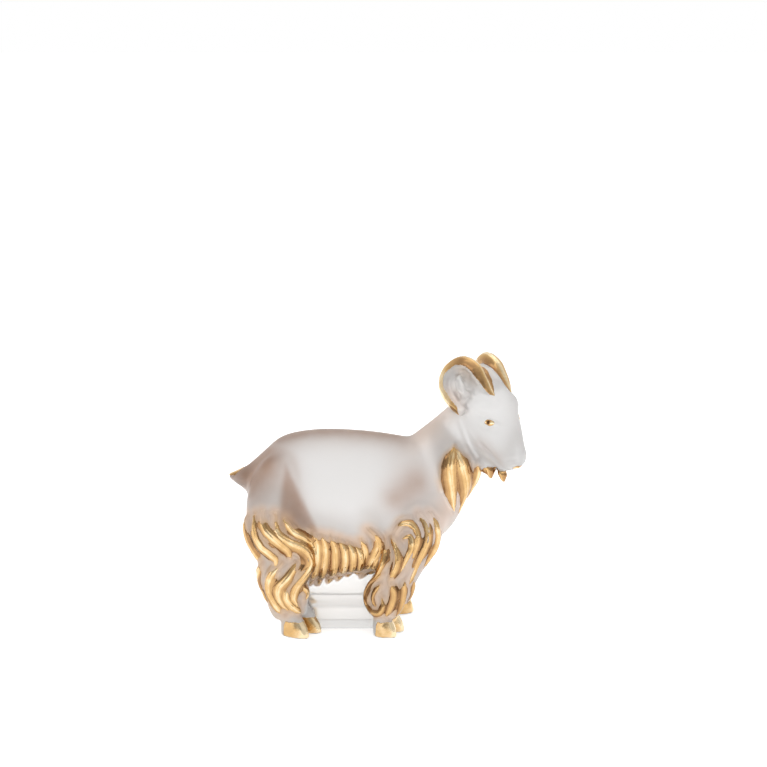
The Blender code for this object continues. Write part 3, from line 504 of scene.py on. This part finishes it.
castTree = BVHTree.FromPolygons(points.tolist(), tris.tolist())
for route, width, depth in face["grooves"] + horns["earGrooves"]:
    for side, _ in sides:
        line = [tuple(castTree.find_nearest(place)[0]) for place in smoothCurve(mirrored(route, side), 12).tolist()]
        points -= turned * pressGroove(line, width, depth)[:, None]
# the jaw's line: the neck drawn in where it comes close to the skull
close = np.nonzero(np.linalg.norm(points - np.array(head["middle"]), axis=1) < 20)[0]
found = [skullTree.find_nearest(place) for place in points[close].tolist()]
away = np.array([f[3] for f in found])
ahead, _, upward = ((points[close] - np.array(head["middle"])) @ headFrame.T).T
along = np.clip((ahead - face["jawFrom"]) / 4, 0, 1) * (upward < 1)
points[close] -= turned[close] * (face["jawDepth"] * np.exp(-(((away - 0.9) / 0.7) ** 2)) * along)[:, None]
turned = pointNormals(points, tris)
print("casting", len(points), "points", len(tris), "triangles")


# where the gold lies: a number at each point that is above zero on a gilded crest
def gildField(points, turned):
    strength = np.full(len(points), -1.0)
    owner = np.full(len(points), -1)
    lateral = np.zeros(len(points))
    crest = np.zeros(len(points))
    tone = np.zeros(len(points))
    nearest = np.full(len(points), 99.0)
    for k, r in enumerate(ridges):
        reach = r["half"].max() + r["height"].max() + 1
        low, high = r["centres"].min(0) - reach, r["centres"].max(0) + reach
        near = np.nonzero(((points > low) & (points < high)).all(1))[0]
        if not len(near):
            continue
        gap = points[near][:, None] - r["centres"][None]
        at = np.argmin((gap**2).sum(2), 1)
        offset = gap[np.arange(len(near)), at]
        side = (offset * r["sideways"][at]).sum(1)
        rise = (offset * r["crests"][at]).sum(1) / r["height"][at]
        past = np.abs((offset * r["along"][at]).sum(1))
        across = np.abs(side) / r["half"][at]
        if r.get("allRound"):
            found = np.where((past < 0.5) & (across < 1.15) & (rise < 1.2) & (rise > r["allRound"]), r["gilded"][at], -1)
        else:
            found = r["gilded"][at] - across
            if k < len(locks):
                # streaks along the lock where the brush missed
                local = np.stack([at * r["step"] / film["missLength"], side / film["missWidth"], np.full(len(at), 3.3 * k)], 1)
                found = found + r["miss"] * ripple(local, 1.0, 41)
            facing = (turned[near] * r["crests"][at]).sum(1)
            found = np.minimum(np.minimum(found, (rise - 0.05) * 1.6), facing * 1.4)
            found = np.where((rise < 1.7) & (past < 0.8), found, -1)
            if k < len(locks) and "throat" not in r["piece"]:
                nearest[near] = np.minimum(nearest[near], np.sqrt((offset**2).sum(1)))
        better = found > strength[near]
        chosen = near[better]
        strength[chosen] = found[better]
        owner[chosen] = k
        lateral[chosen] = side[better]
        crest[chosen] = np.cos(np.minimum(across[better], 1) * math.pi / 2)
        tone[chosen] = np.broadcast_to(r.get("toneAndHighlight", 0.0), len(r["half"]))[at[better]]
    strength = np.where((points[:, 2] < 0.25) | (turned[:, 2] < -0.8), -1, strength)
    return strength, owner, lateral, crest, tone, nearest


def roughEdge(points):
    # the brush's uneven edge, and grains of gold beyond it
    return 0.1 * ripple(points, 3.0, 3) + 0.03 * ripple(points, 0.7, 5)


# thin films cut from the casting's own skin
film = {"inside": 0.02, "outside": 0.06, "strand": 1.15, "strandHeight": 0.1, "lineGap": 1.1, "missLength": 8.0, "missWidth": 1.0}


def splitFour(points, turned, tris):
    # each triangle into four, with shared middles
    pairs = np.sort(np.concatenate([tris[:, [0, 1]], tris[:, [1, 2]], tris[:, [2, 0]]]), 1)
    unique, back = np.unique(pairs, axis=0, return_inverse=True)
    back = back.reshape(3, -1) + len(points)
    middle = points[unique].mean(1)
    normals = unit(turned[unique].sum(1))
    a, b, c = tris.T
    ab, bc, ca = back
    made = np.concatenate([np.stack(t, 1) for t in ((a, ab, ca), (ab, b, bc), (ca, bc, c), (ab, bc, ca))])
    return np.vstack([points, middle]), np.vstack([turned, normals]), made


def clipAbove(values, tris):
    # the part of the surface above zero: cut triangles end on the zero line, with shared new points
    keep = values > 0
    count = keep[tris].sum(1)
    whole = tris[count == 3]
    one, two = tris[count == 1], tris[count == 2]
    roll = lambda t, first: np.take_along_axis(t, (first[:, None] + np.arange(3)) % 3, 1)
    one = roll(one, np.argmax(keep[one], 1))
    two = roll(two, np.argmin(keep[two], 1))
    cut = np.concatenate([one[:, [0, 1]], one[:, [0, 2]], two[:, [0, 1]], two[:, [0, 2]]])
    unique, back = np.unique(np.sort(cut, 1), axis=0, return_inverse=True)
    back = back.ravel() + len(values)
    ab, ac, pq, pr = np.split(back, np.cumsum([len(one), len(one), len(two)]))
    made = np.concatenate([whole, np.stack([one[:, 0], ab, ac], 1), np.stack([two[:, 1], two[:, 2], pr], 1), np.stack([two[:, 1], pr, pq], 1)])
    share = values[unique[:, 0]] / (values[unique[:, 0]] - values[unique[:, 1]])
    return made, unique, share


def newMesh(name, verts, faces, finishes, values=None, index=None):
    mesh = bpy.data.meshes.new(name)
    mesh.from_pydata((verts * mm).tolist(), [], faces.tolist())
    for finish in finishes:
        mesh.materials.append(finish)
    mesh.polygons.foreach_set("use_smooth", np.ones(len(mesh.polygons), bool))
    if index is not None:
        mesh.polygons.foreach_set("material_index", index.astype(np.int32))
    for key, data in (values or {}).items():
        mesh.attributes.new(key, "FLOAT", "POINT").data.foreach_set("value", data.astype(np.float32))
    mesh.update()
    made = bpy.data.objects.new(name, mesh)
    bpy.context.scene.collection.objects.link(made)
    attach(made, "root")
    return made


def filmMesh(name, points, turned, tris, lift, shade, finish):
    # a closed sheet: the skin lifted twice, and a rim round its open edges
    used, tris = np.unique(tris, return_inverse=True)
    tris = tris.reshape(-1, 3)
    points, turned, lift, shade = points[used], turned[used], lift[used], shade[used]
    directed = np.concatenate([tris[:, [0, 1]], tris[:, [1, 2]], tris[:, [2, 0]]])
    code = np.sort(directed, 1) @ np.array((1, len(points) + 1))
    _, first, times = np.unique(code, return_index=True, return_counts=True)
    rim = directed[first[times == 1]]
    count = len(points)
    sheet = np.vstack([points + turned * lift[:, None], points + turned * film["inside"]])
    p, q = rim.T
    faces = np.concatenate([tris, tris[:, ::-1] + count, np.stack([q, p, p + count], 1), np.stack([q, p + count, q + count], 1)])
    return newMesh(name, sheet, faces, [finish], {"shade": np.tile(shade, 2)})


# finishes
def linear(colour):
    c = np.array([int(colour[k:k + 2], 16) for k in (1, 3, 5)]) / 255
    return (*np.where(c <= 0.04045, c / 12.92, ((c + 0.055) / 1.055) ** 2.4).tolist(), 1.0)


def addNode(tree, kind, options=None, values=None, links=None):
    node = tree.nodes.new(kind)
    for key, value in (options or {}).items():
        setattr(node, key, value)
    for key, value in (values or {}).items():
        node.inputs[key].default_value = value
    for key, source in (links or {}).items():
        tree.links.new(source, node.inputs[key])
    return node


def newFinish(name):
    made = bpy.data.materials.new(name)
    made.use_nodes = True
    tree = made.node_tree
    return made, tree, tree.nodes["Principled BSDF"]


crystalLook = {"clear": "#E3E2E1", "shadeAndReflection": "#A68570", "reflectedGoldTint": "#E9D7CC", "paintedLight": "#FFEADB", "thinGold": "#D2AC80", "thinMetal": 0.5, "roughness": 0.38, "transmission": 0.55, "hairTransmission": 0.35, "ior": 1.53}
goldLook = {"pale": "#EFDAB4", "mid": "#D2AC75", "deep": "#A67F57", "dark": "#4E331D", "roughness": 0.16}


def satinCrystal():
    # lead crystal, cast and then satined in acid: a fine even tooth that scatters what passes through it
    # painted reflection of the gold: a brownish tint where gold on the far side and in the partings would show in the
    # glass, and a paler, warmer tint round the hair; painted shade in the hollows; painted light, a paler colour, on
    # the nape and the chest
    made, tree, shader = newFinish("satined cast crystal")
    place = addNode(tree, "ShaderNodeTexCoord").outputs["Object"]
    shadeAndReflection = addNode(tree, "ShaderNodeAttribute", {"attribute_name": "shadeAndReflection"}).outputs["Fac"]
    cloud = addNode(tree, "ShaderNodeTexNoise", None, {"Scale": 160.0, "Detail": 3.0}, {"Vector": place})  # 6 mm clouds
    patch = addNode(tree, "ShaderNodeMath", {"operation": "MULTIPLY_ADD"}, {1: 0.5, 2: 0.75}, {0: cloud.outputs["Fac"]})
    amount = addNode(tree, "ShaderNodeMath", {"operation": "MULTIPLY", "use_clamp": True}, None, {0: shadeAndReflection, 1: patch.outputs[0]})
    reflectedGoldTint = addNode(tree, "ShaderNodeAttribute", {"attribute_name": "reflectedGoldTint"}).outputs["Fac"]
    near = addNode(tree, "ShaderNodeMix", {"data_type": "RGBA"}, {6: linear(crystalLook["clear"]), 7: linear(crystalLook["reflectedGoldTint"])}, {0: reflectedGoldTint})
    paintedLight = addNode(tree, "ShaderNodeAttribute", {"attribute_name": "paintedLight"}).outputs["Fac"]
    withPaintedLight = addNode(tree, "ShaderNodeMix", {"data_type": "RGBA"}, {7: linear(crystalLook["paintedLight"])}, {0: paintedLight, 6: near.outputs[2]})
    colour = addNode(tree, "ShaderNodeMix", {"data_type": "RGBA"}, {7: linear(crystalLook["shadeAndReflection"])}, {0: amount.outputs[0], 6: withPaintedLight.outputs[2]})
    tooth = addNode(tree, "ShaderNodeTexNoise", None, {"Scale": 2500.0, "Detail": 2.0}, {"Vector": place})  # 0.4 mm, coarser than the acid's tooth so that it shows
    rough = addNode(tree, "ShaderNodeMapRange", None, {"To Min": crystalLook["roughness"] - 0.06, "To Max": crystalLook["roughness"] + 0.08}, {"Value": tooth.outputs["Fac"]})
    side = addNode(tree, "ShaderNodeAttribute", {"attribute_name": "lateral"}).outputs["Fac"]
    hairy = addNode(tree, "ShaderNodeAttribute", {"attribute_name": "hairy"}).outputs["Fac"]
    turn = addNode(tree, "ShaderNodeMath", {"operation": "MULTIPLY"}, {1: 2 * math.pi / 0.95}, {0: side})  # strands 0.95 mm apart
    wave = addNode(tree, "ShaderNodeMath", {"operation": "COSINE"}, None, {0: turn.outputs[0]})
    strands = addNode(tree, "ShaderNodeMath", {"operation": "MULTIPLY"}, None, {0: wave.outputs[0], 1: hairy})
    relief = addNode(tree, "ShaderNodeMath", {"operation": "MULTIPLY_ADD"}, {1: 0.12}, {0: tooth.outputs["Fac"], 2: strands.outputs[0]})
    bump = addNode(tree, "ShaderNodeBump", None, {"Strength": 0.35, "Distance": 0.0002}, {"Height": relief.outputs[0]})
    thin = addNode(tree, "ShaderNodeAttribute", {"attribute_name": "thin"}).outputs["Fac"]
    gilded = addNode(tree, "ShaderNodeMix", {"data_type": "RGBA"}, {7: linear(crystalLook["thinGold"])}, {0: thin, 6: colour.outputs[2]})
    metal = addNode(tree, "ShaderNodeMath", {"operation": "MULTIPLY"}, {1: crystalLook["thinMetal"]}, {0: thin})
    tree.links.new(gilded.outputs[2], shader.inputs["Base Color"])
    tree.links.new(metal.outputs[0], shader.inputs["Metallic"])
    tree.links.new(rough.outputs["Result"], shader.inputs["Roughness"])
    tree.links.new(bump.outputs["Normal"], shader.inputs["Normal"])
    shader.inputs["IOR"].default_value = crystalLook["ior"]
    through = addNode(tree, "ShaderNodeMapRange", None, {"To Min": crystalLook["transmission"], "To Max": crystalLook["hairTransmission"]}, {"Value": hairy})
    tree.links.new(through.outputs["Result"], shader.inputs["Transmission Weight"])
    return made


def polishedCrystal():
    # the same crystal ground flat and polished: clear, with the faint waviness of hand polishing
    made, tree, shader = newFinish("polished crystal")
    place = addNode(tree, "ShaderNodeTexCoord").outputs["Object"]
    wave = addNode(tree, "ShaderNodeTexNoise", None, {"Scale": 110.0, "Detail": 1.0}, {"Vector": place})  # 9 mm waves
    rough = addNode(tree, "ShaderNodeMapRange", None, {"To Min": 0.02, "To Max": 0.09}, {"Value": wave.outputs["Fac"]})
    bump = addNode(tree, "ShaderNodeBump", None, {"Strength": 0.05, "Distance": 0.0004}, {"Height": wave.outputs["Fac"]})
    tree.links.new(rough.outputs["Result"], shader.inputs["Roughness"])
    tree.links.new(bump.outputs["Normal"], shader.inputs["Normal"])
    shader.inputs["Base Color"].default_value = linear("#FCFCFB")
    shader.inputs["IOR"].default_value = crystalLook["ior"]
    shader.inputs["Transmission Weight"].default_value = 0.7
    return made


def firedGold():
    # liquid bright gold, brushed on and fired: a mirror, with random brush marks; its shade attribute paints a
    # highlight on each crest and shade towards the edges and in lines
    made, tree, shader = newFinish("fired bright gold")
    place = addNode(tree, "ShaderNodeTexCoord").outputs["Object"]
    shade = addNode(tree, "ShaderNodeAttribute", {"attribute_name": "shade"}).outputs["Fac"]
    brush = addNode(tree, "ShaderNodeTexNoise", None, {"Scale": 420.0, "Detail": 4.0}, {"Vector": place})  # 2.4 mm brush marks
    spread = addNode(tree, "ShaderNodeMapRange", None, {"From Min": 0.3, "From Max": 0.7, "To Min": -0.08, "To Max": 0.08}, {"Value": brush.outputs["Fac"]})
    mixed = addNode(tree, "ShaderNodeMath", {"operation": "ADD"}, None, {0: spread.outputs["Result"], 1: shade})
    ramp = addNode(tree, "ShaderNodeValToRGB", None, None, {"Fac": mixed.outputs[0]})
    stops = ramp.color_ramp.elements
    stops[0].position, stops[0].color = 0.02, linear(goldLook["pale"])
    stops[1].position, stops[1].color = 0.26, linear(goldLook["mid"])
    for position, key in ((0.66, "deep"), (1.0, "dark")):
        stop = stops.new(position)
        stop.color = linear(goldLook[key])
    rough = addNode(tree, "ShaderNodeMapRange", None, {"To Min": goldLook["roughness"] - 0.08, "To Max": goldLook["roughness"] + 0.14}, {"Value": brush.outputs["Fac"]})
    grain = addNode(tree, "ShaderNodeTexNoise", None, {"Scale": 1800.0, "Detail": 2.0}, {"Vector": place})  # 0.55 mm grain
    bump = addNode(tree, "ShaderNodeBump", None, {"Strength": 0.05, "Distance": 0.0002}, {"Height": grain.outputs["Fac"]})
    tree.links.new(ramp.outputs["Color"], shader.inputs["Base Color"])
    tree.links.new(rough.outputs["Result"], shader.inputs["Roughness"])
    tree.links.new(bump.outputs["Normal"], shader.inputs["Normal"])
    shader.inputs["Metallic"].default_value = 1.0
    return made


satin, polished, gold = satinCrystal(), polishedCrystal(), firedGold()

strength, owner, lateral, _, _, nearest = gildField(points, turned)
edgeNoise = roughEdge(points)
gilt = strength + np.where(strength > -0.99, edgeNoise, 0)

# finer skin round the gold only
near = (gilt[tris] > -0.45).any(1)
finePoints, fineTurned, fineTris = splitFour(points, turned, tris[near])
fineStrength, fineOwner, fineLateral, fineCrest, fineTone, _ = gildField(finePoints, fineTurned)
fineGilt = np.where(fineStrength > -0.99, fineStrength + roughEdge(finePoints), -1)
links = np.unique(np.sort(np.concatenate([fineTris[:, [0, 1]], fineTris[:, [1, 2]], fineTris[:, [2, 0]]]), 1), axis=0)
fineGilt = drawSmooth(fineGilt[:, None], links, 8)[:, 0]
made, between, share = clipAbove(fineGilt, fineTris)
strand = np.cos(2 * math.pi * fineLateral / film["strand"] + 1.5 * ripple(finePoints, 5, 9))
lift = film["outside"] + film["strandHeight"] * (0.5 + 0.5 * strand)
strandLineShade = np.maximum(np.cos(2 * math.pi * fineLateral / film["lineGap"] + 1.2 * ripple(finePoints, 6, 11)), 0) ** 3 * (fineOwner < len(locks))
# painted highlight: paler on each crest; painted shade: darker towards a lock's edges and in the lines between strands;
# with random patches and each ridge's tone
shade = 0.54 - 0.56 * fineCrest**3 + 0.17 * strandLineShade + 0.1 * ripple(finePoints, 7, 15) + fineTone
for eye in eyes:
    pupil = eye["centres"][int(face["pupilAt"] * 23)]
    shade += 1.5 * np.exp(-((((finePoints - pupil) ** 2).sum(1)) / 0.62**2) ** 2)
mix = lambda data: np.concatenate([data, data[between[:, 0]] * (1 - share.reshape(-1, *[1] * (data.ndim - 1))) + data[between[:, 1]] * share.reshape(-1, *[1] * (data.ndim - 1))])
allPoints, allTurned, allLift, allShade = mix(finePoints), unit(mix(fineTurned)), mix(lift), mix(shade)
allOwner = np.concatenate([fineOwner, np.where(fineGilt[between[:, 0]] > 0, fineOwner[between[:, 0]], fineOwner[between[:, 1]])])
pieces = [r["piece"] for r in ridges]
names = sorted(set(pieces))
pieceOf = np.array([names.index(piece) for piece in pieces] + [-1])
trianglePiece = np.sort(pieceOf[allOwner[made]], 1)[:, 1]
for k, name in enumerate(names):
    chosen = made[trianglePiece == k]
    if len(chosen) < 8:
        print("no gold for", name)
        continue
    sheet = filmMesh("sheet_" + name, allPoints, allTurned, chosen, allLift, allShade, gold)
    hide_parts(name)
print("gold laid", len(made), "triangles")

# the casting, with the block's faces polished
glow = {
    # painted reflection of gold behind or beside the glass, and painted shade in the hollow behind the shoulder and
    # under the cheek: from, to, reach, strength; a third number is y, else both flanks
    # corners of a triangle of painted shade and reflection at the front of the haunch
    "haunch": ((-30.2, 60.5), (-16.6, 31.0), (-33.0, 33.0)),
    "streaks": (((-47, 0, 49), (-38, 0, 50), 6.0, 0.6), ((-41, 46), (-40, 30), 5.0, 0.4), ((-42, 50), (-36, 56), 7.5, 1.0),
                ((-30, 0, 62), (6, 0, 63), 7.5, 1.1), ((6, 45), (12, 49), 5.0, 0.75),
                (onHead((6, -7, -2)), onHead((12, -4.5, 0.5)), 2.6, 0.3)),
    # thin gold wiped over the heel and the back of the thigh; the last, between the horns, is a painted reflection of
    # the horns' gold in the glass: from, to, reach, strength
    "wiped": (((-35.5, -13, 13), (-32, -14, 6), 5.0, 0.6), ((-40.5, -10, 36), (-38, -10, 26), 4.0, 0.6),
              ((-37.5, 13, 13), (-34, 14, 6), 5.0, 0.6), ((-40.5, 10, 36), (-38, 10, 26), 4.0, 0.6),
              ((28.5, -5.2, 85), (32, -7, 82.5), 3.6, 0.7)),
    # painted light: a paler, warmer colour on the nape and the chest, which lie in shade
    "paintedLight": (((13, 64), (22, 74), 4.5, 0.9), ((19.5, 35), (27, 48), 5.0, 0.95)),
    "foreGlass": (6, 12, 0.7),  # from here on forwards the glass between the locks shows clearer: from, to, share
    "foreTop": 46,
}
# painted reflection of the gold in the glass round the hair: a pale tint, and a little of the brownish one
reflectedGoldTint = 0.75 * np.clip(1.5 - nearest / 1.9, 0, 1)
shadeAndReflection = 0.25 * np.clip(1.5 - nearest / 2.6, 0, 1)
thin = np.clip((gilt + 0.8) / 0.9, 0, 1) * (strength > -0.99) * (owner < len(locks))
thin = np.maximum(thin, 0.4 * np.clip(1.5 - nearest / 2.4, 0, 1))
foreStart, foreFull, foreShare = glow["foreGlass"]
onFore = np.clip((points[:, 0] - foreStart) / (foreFull - foreStart), 0, 1) * (points[:, 2] < glow["foreTop"])
thin = thin * (1 - foreShare * onFore)


def streakOver(start, stop, reach, amount):
    # amount * exp(-(distance from the line / reach)^2)
    place = points[:, [0, 2]] if len(start) == 2 else points
    a, b = np.array(start, float), np.array(stop, float)
    share = np.clip((place - a) @ (b - a) / ((b - a) @ (b - a)), 0, 1)
    gap = np.linalg.norm(place - a - share[:, None] * (b - a), axis=1)
    return amount * np.exp(-((gap / reach) ** 2))


for streak in glow["streaks"]:
    shadeAndReflection = np.maximum(shadeAndReflection, streakOver(*streak))
for streak in glow["wiped"]:
    thin = np.maximum(thin, streakOver(*streak))
paintedLight = np.max([streakOver(*streak) for streak in glow["paintedLight"]], 0)
shadeAndReflection, thin = shadeAndReflection * (1 - 0.7 * paintedLight), thin * (1 - 0.7 * paintedLight)
# painted shade and reflection: a brownish triangle between the thigh and the flank
apex, ahead, behind = np.array(glow["haunch"])
inside = []
for a, b, soft in ((apex, ahead, 1.2), (ahead, behind, 4.0), (behind, apex, 2.4)):
    edge = (b - a) / np.linalg.norm(b - a)
    inside.append(np.clip(((points[:, [0, 2]] - a) @ np.array((edge[1], -edge[0]))) / soft, -1, 1))
shadeAndReflection = np.maximum(shadeAndReflection, 0.85 * np.clip(np.min(inside, 0), 0, 1) * (np.abs(points[:, 1]) > 3))
shadeAndReflection, reflectedGoldTint, thin, paintedLight = drawSmooth(np.stack([shadeAndReflection, reflectedGoldTint, thin, paintedLight], 1), edges, 4).T
hairy = np.clip(1.6 - nearest / 2.2, 0, 1)
heights, halves = np.array(block["levels"]).T
within = np.interp(points[:, 2], heights, halves) - np.abs(points[:, 1])
endGap = np.abs(points[:, 0] - np.mean(block["ends"])) - np.ptp(block["ends"]) / 2
onBlock = (np.abs(np.minimum(within, -endGap)) < 0.25) & (points[:, 2] < heights[-1])
onBlock |= points[:, 2] < 0.05
index = np.where(onBlock[tris].all(1), 1, 0)
crystal = newMesh("crystal_goat", points, tris, [satin, polished], {"shadeAndReflection": shadeAndReflection, "reflectedGoldTint": reflectedGoldTint, "paintedLight": paintedLight, "thin": thin, "lateral": lateral, "hairy": hairy}, index)
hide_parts("crystal_casting")
print("casting made")

# studio
studio = {"target": (0, 0, 0.0425), "distance": 0.687, "elevation": math.radians(13), "lens": 100, "shift": (0.008, 0.145),
          "ambient": 0.95, "dimFront": 0.42, "keyPower": 0.5, "fillPower": 0.45, "paperGlow": 0.44, "mirrorGlow": 0.15, "throughGlow": 0.5}


def paperSweep():
    # white seamless paper: matt, with the faintest mottle, and lifted to the background's white where the camera sees it
    made, tree, shader = newFinish("white seamless paper")
    place = addNode(tree, "ShaderNodeTexCoord").outputs["Object"]
    mottle = addNode(tree, "ShaderNodeTexNoise", None, {"Scale": 30.0}, {"Vector": place})
    tone = addNode(tree, "ShaderNodeMapRange", None, {"To Min": 0.86, "To Max": 0.88}, {"Value": mottle.outputs["Fac"]})
    tree.links.new(tone.outputs["Result"], shader.inputs["Base Color"])
    shader.inputs["Roughness"].default_value = 0.9
    shader.inputs["Specular IOR Level"].default_value = 0.0
    shader.inputs["Emission Color"].default_value = (1, 1, 1, 1)
    path = addNode(tree, "ShaderNodeLightPath").outputs
    glow = None
    for ray, amount in (("Is Glossy Ray", "mirrorGlow"), ("Is Transmission Ray", "throughGlow"), ("Is Camera Ray", "paperGlow")):
        part = addNode(tree, "ShaderNodeMath", {"operation": "MULTIPLY"}, {1: studio[amount]}, {0: path[ray]})
        glow = addNode(tree, "ShaderNodeMath", {"operation": "MAXIMUM"}, None, {0: part.outputs[0], **({1: glow.outputs[0]} if glow else {})})
    tree.links.new(glow.outputs[0], shader.inputs["Emission Strength"])
    return made


def buildStudio():
    scene = bpy.context.scene
    scene.view_settings.view_transform = "Standard"
    reach = np.linspace(-8, 8, 2)
    grid = np.array([(x, y, -0.0001) for y in reach for x in reach])
    floorMesh = bpy.data.meshes.new("floor")
    floorMesh.from_pydata(grid.tolist(), [], [(0, 1, 3, 2)])
    floorMesh.materials.append(paperSweep())
    floor = bpy.data.objects.new("floor", floorMesh)
    scene.collection.objects.link(floor)

    world = bpy.data.worlds.new("white studio")
    scene.world = world
    world.use_nodes = True
    tree = world.node_tree
    tree.nodes.clear()
    path = addNode(tree, "ShaderNodeLightPath").outputs
    direction = addNode(tree, "ShaderNodeTexCoord").outputs["Generated"]
    parts = addNode(tree, "ShaderNodeSeparateXYZ", None, None, {0: direction})
    ahead = addNode(tree, "ShaderNodeMapRange", None, {"From Min": -0.9, "From Max": 0.5, "To Min": studio["dimFront"], "To Max": 1.0}, {"Value": parts.outputs["Y"]})
    above = addNode(tree, "ShaderNodeMapRange", None, {"From Min": 0.2, "From Max": 0.9, "To Min": 0.0, "To Max": 1.0}, {"Value": parts.outputs["Z"]})
    room = addNode(tree, "ShaderNodeMath", {"operation": "MAXIMUM"}, None, {0: ahead.outputs["Result"], 1: above.outputs["Result"]})
    seen = addNode(tree, "ShaderNodeMath", {"operation": "MAXIMUM"}, None, {0: path["Is Camera Ray"], 1: room.outputs[0]})
    glossy = addNode(tree, "ShaderNodeMath", {"operation": "MAXIMUM"}, None, {0: path["Is Glossy Ray"], 1: path["Is Transmission Ray"]})
    shown = addNode(tree, "ShaderNodeMath", {"operation": "MAXIMUM"}, None, {0: path["Is Camera Ray"], 1: glossy.outputs[0]})
    lit = addNode(tree, "ShaderNodeBackground", None, {"Color": (1, 1, 1, 1), "Strength": studio["ambient"]})
    view = addNode(tree, "ShaderNodeBackground", None, {"Color": (1, 1, 1, 1)}, {"Strength": seen.outputs[0]})
    both = addNode(tree, "ShaderNodeMixShader", None, None, {0: shown.outputs[0], 1: lit.outputs[0], 2: view.outputs[0]})
    addNode(tree, "ShaderNodeOutputWorld", None, None, {"Surface": both.outputs[0]})

    for name, place, size, power in (("fill box", (0.3, -0.52, 0.12), 0.7, studio["fillPower"]), ("key box", (-0.35, -0.45, 0.55), 0.4, studio["keyPower"]), ("top box", (0.1, 0.15, 0.7), 0.6, studio["keyPower"] * 1.3)):
        lamp = bpy.data.lights.new(name, "AREA")
        lamp.size = size
        lamp.energy = power
        made = bpy.data.objects.new(name, lamp)
        made.location = place
        away = np.array(place) - (0, 0, 0.04)
        flat = math.hypot(away[0], away[1])
        made.rotation_euler = (math.atan2(flat, away[2]), 0, math.atan2(away[0], -away[1]))
        scene.collection.objects.link(made)

    lens = bpy.data.cameras.new("camera")
    lens.lens = studio["lens"]
    lens.shift_x, lens.shift_y = studio["shift"]
    lens.clip_start = 0.01
    camera = bpy.data.objects.new("camera", lens)
    tilt = studio["elevation"]
    camera.location = np.array(studio["target"]) + studio["distance"] * np.array((0, -math.cos(tilt), math.sin(tilt)))
    camera.rotation_euler = (math.pi / 2 - tilt, 0, 0)
    scene.collection.objects.link(camera)
    scene.camera = camera


buildStudio()
print("studio set")
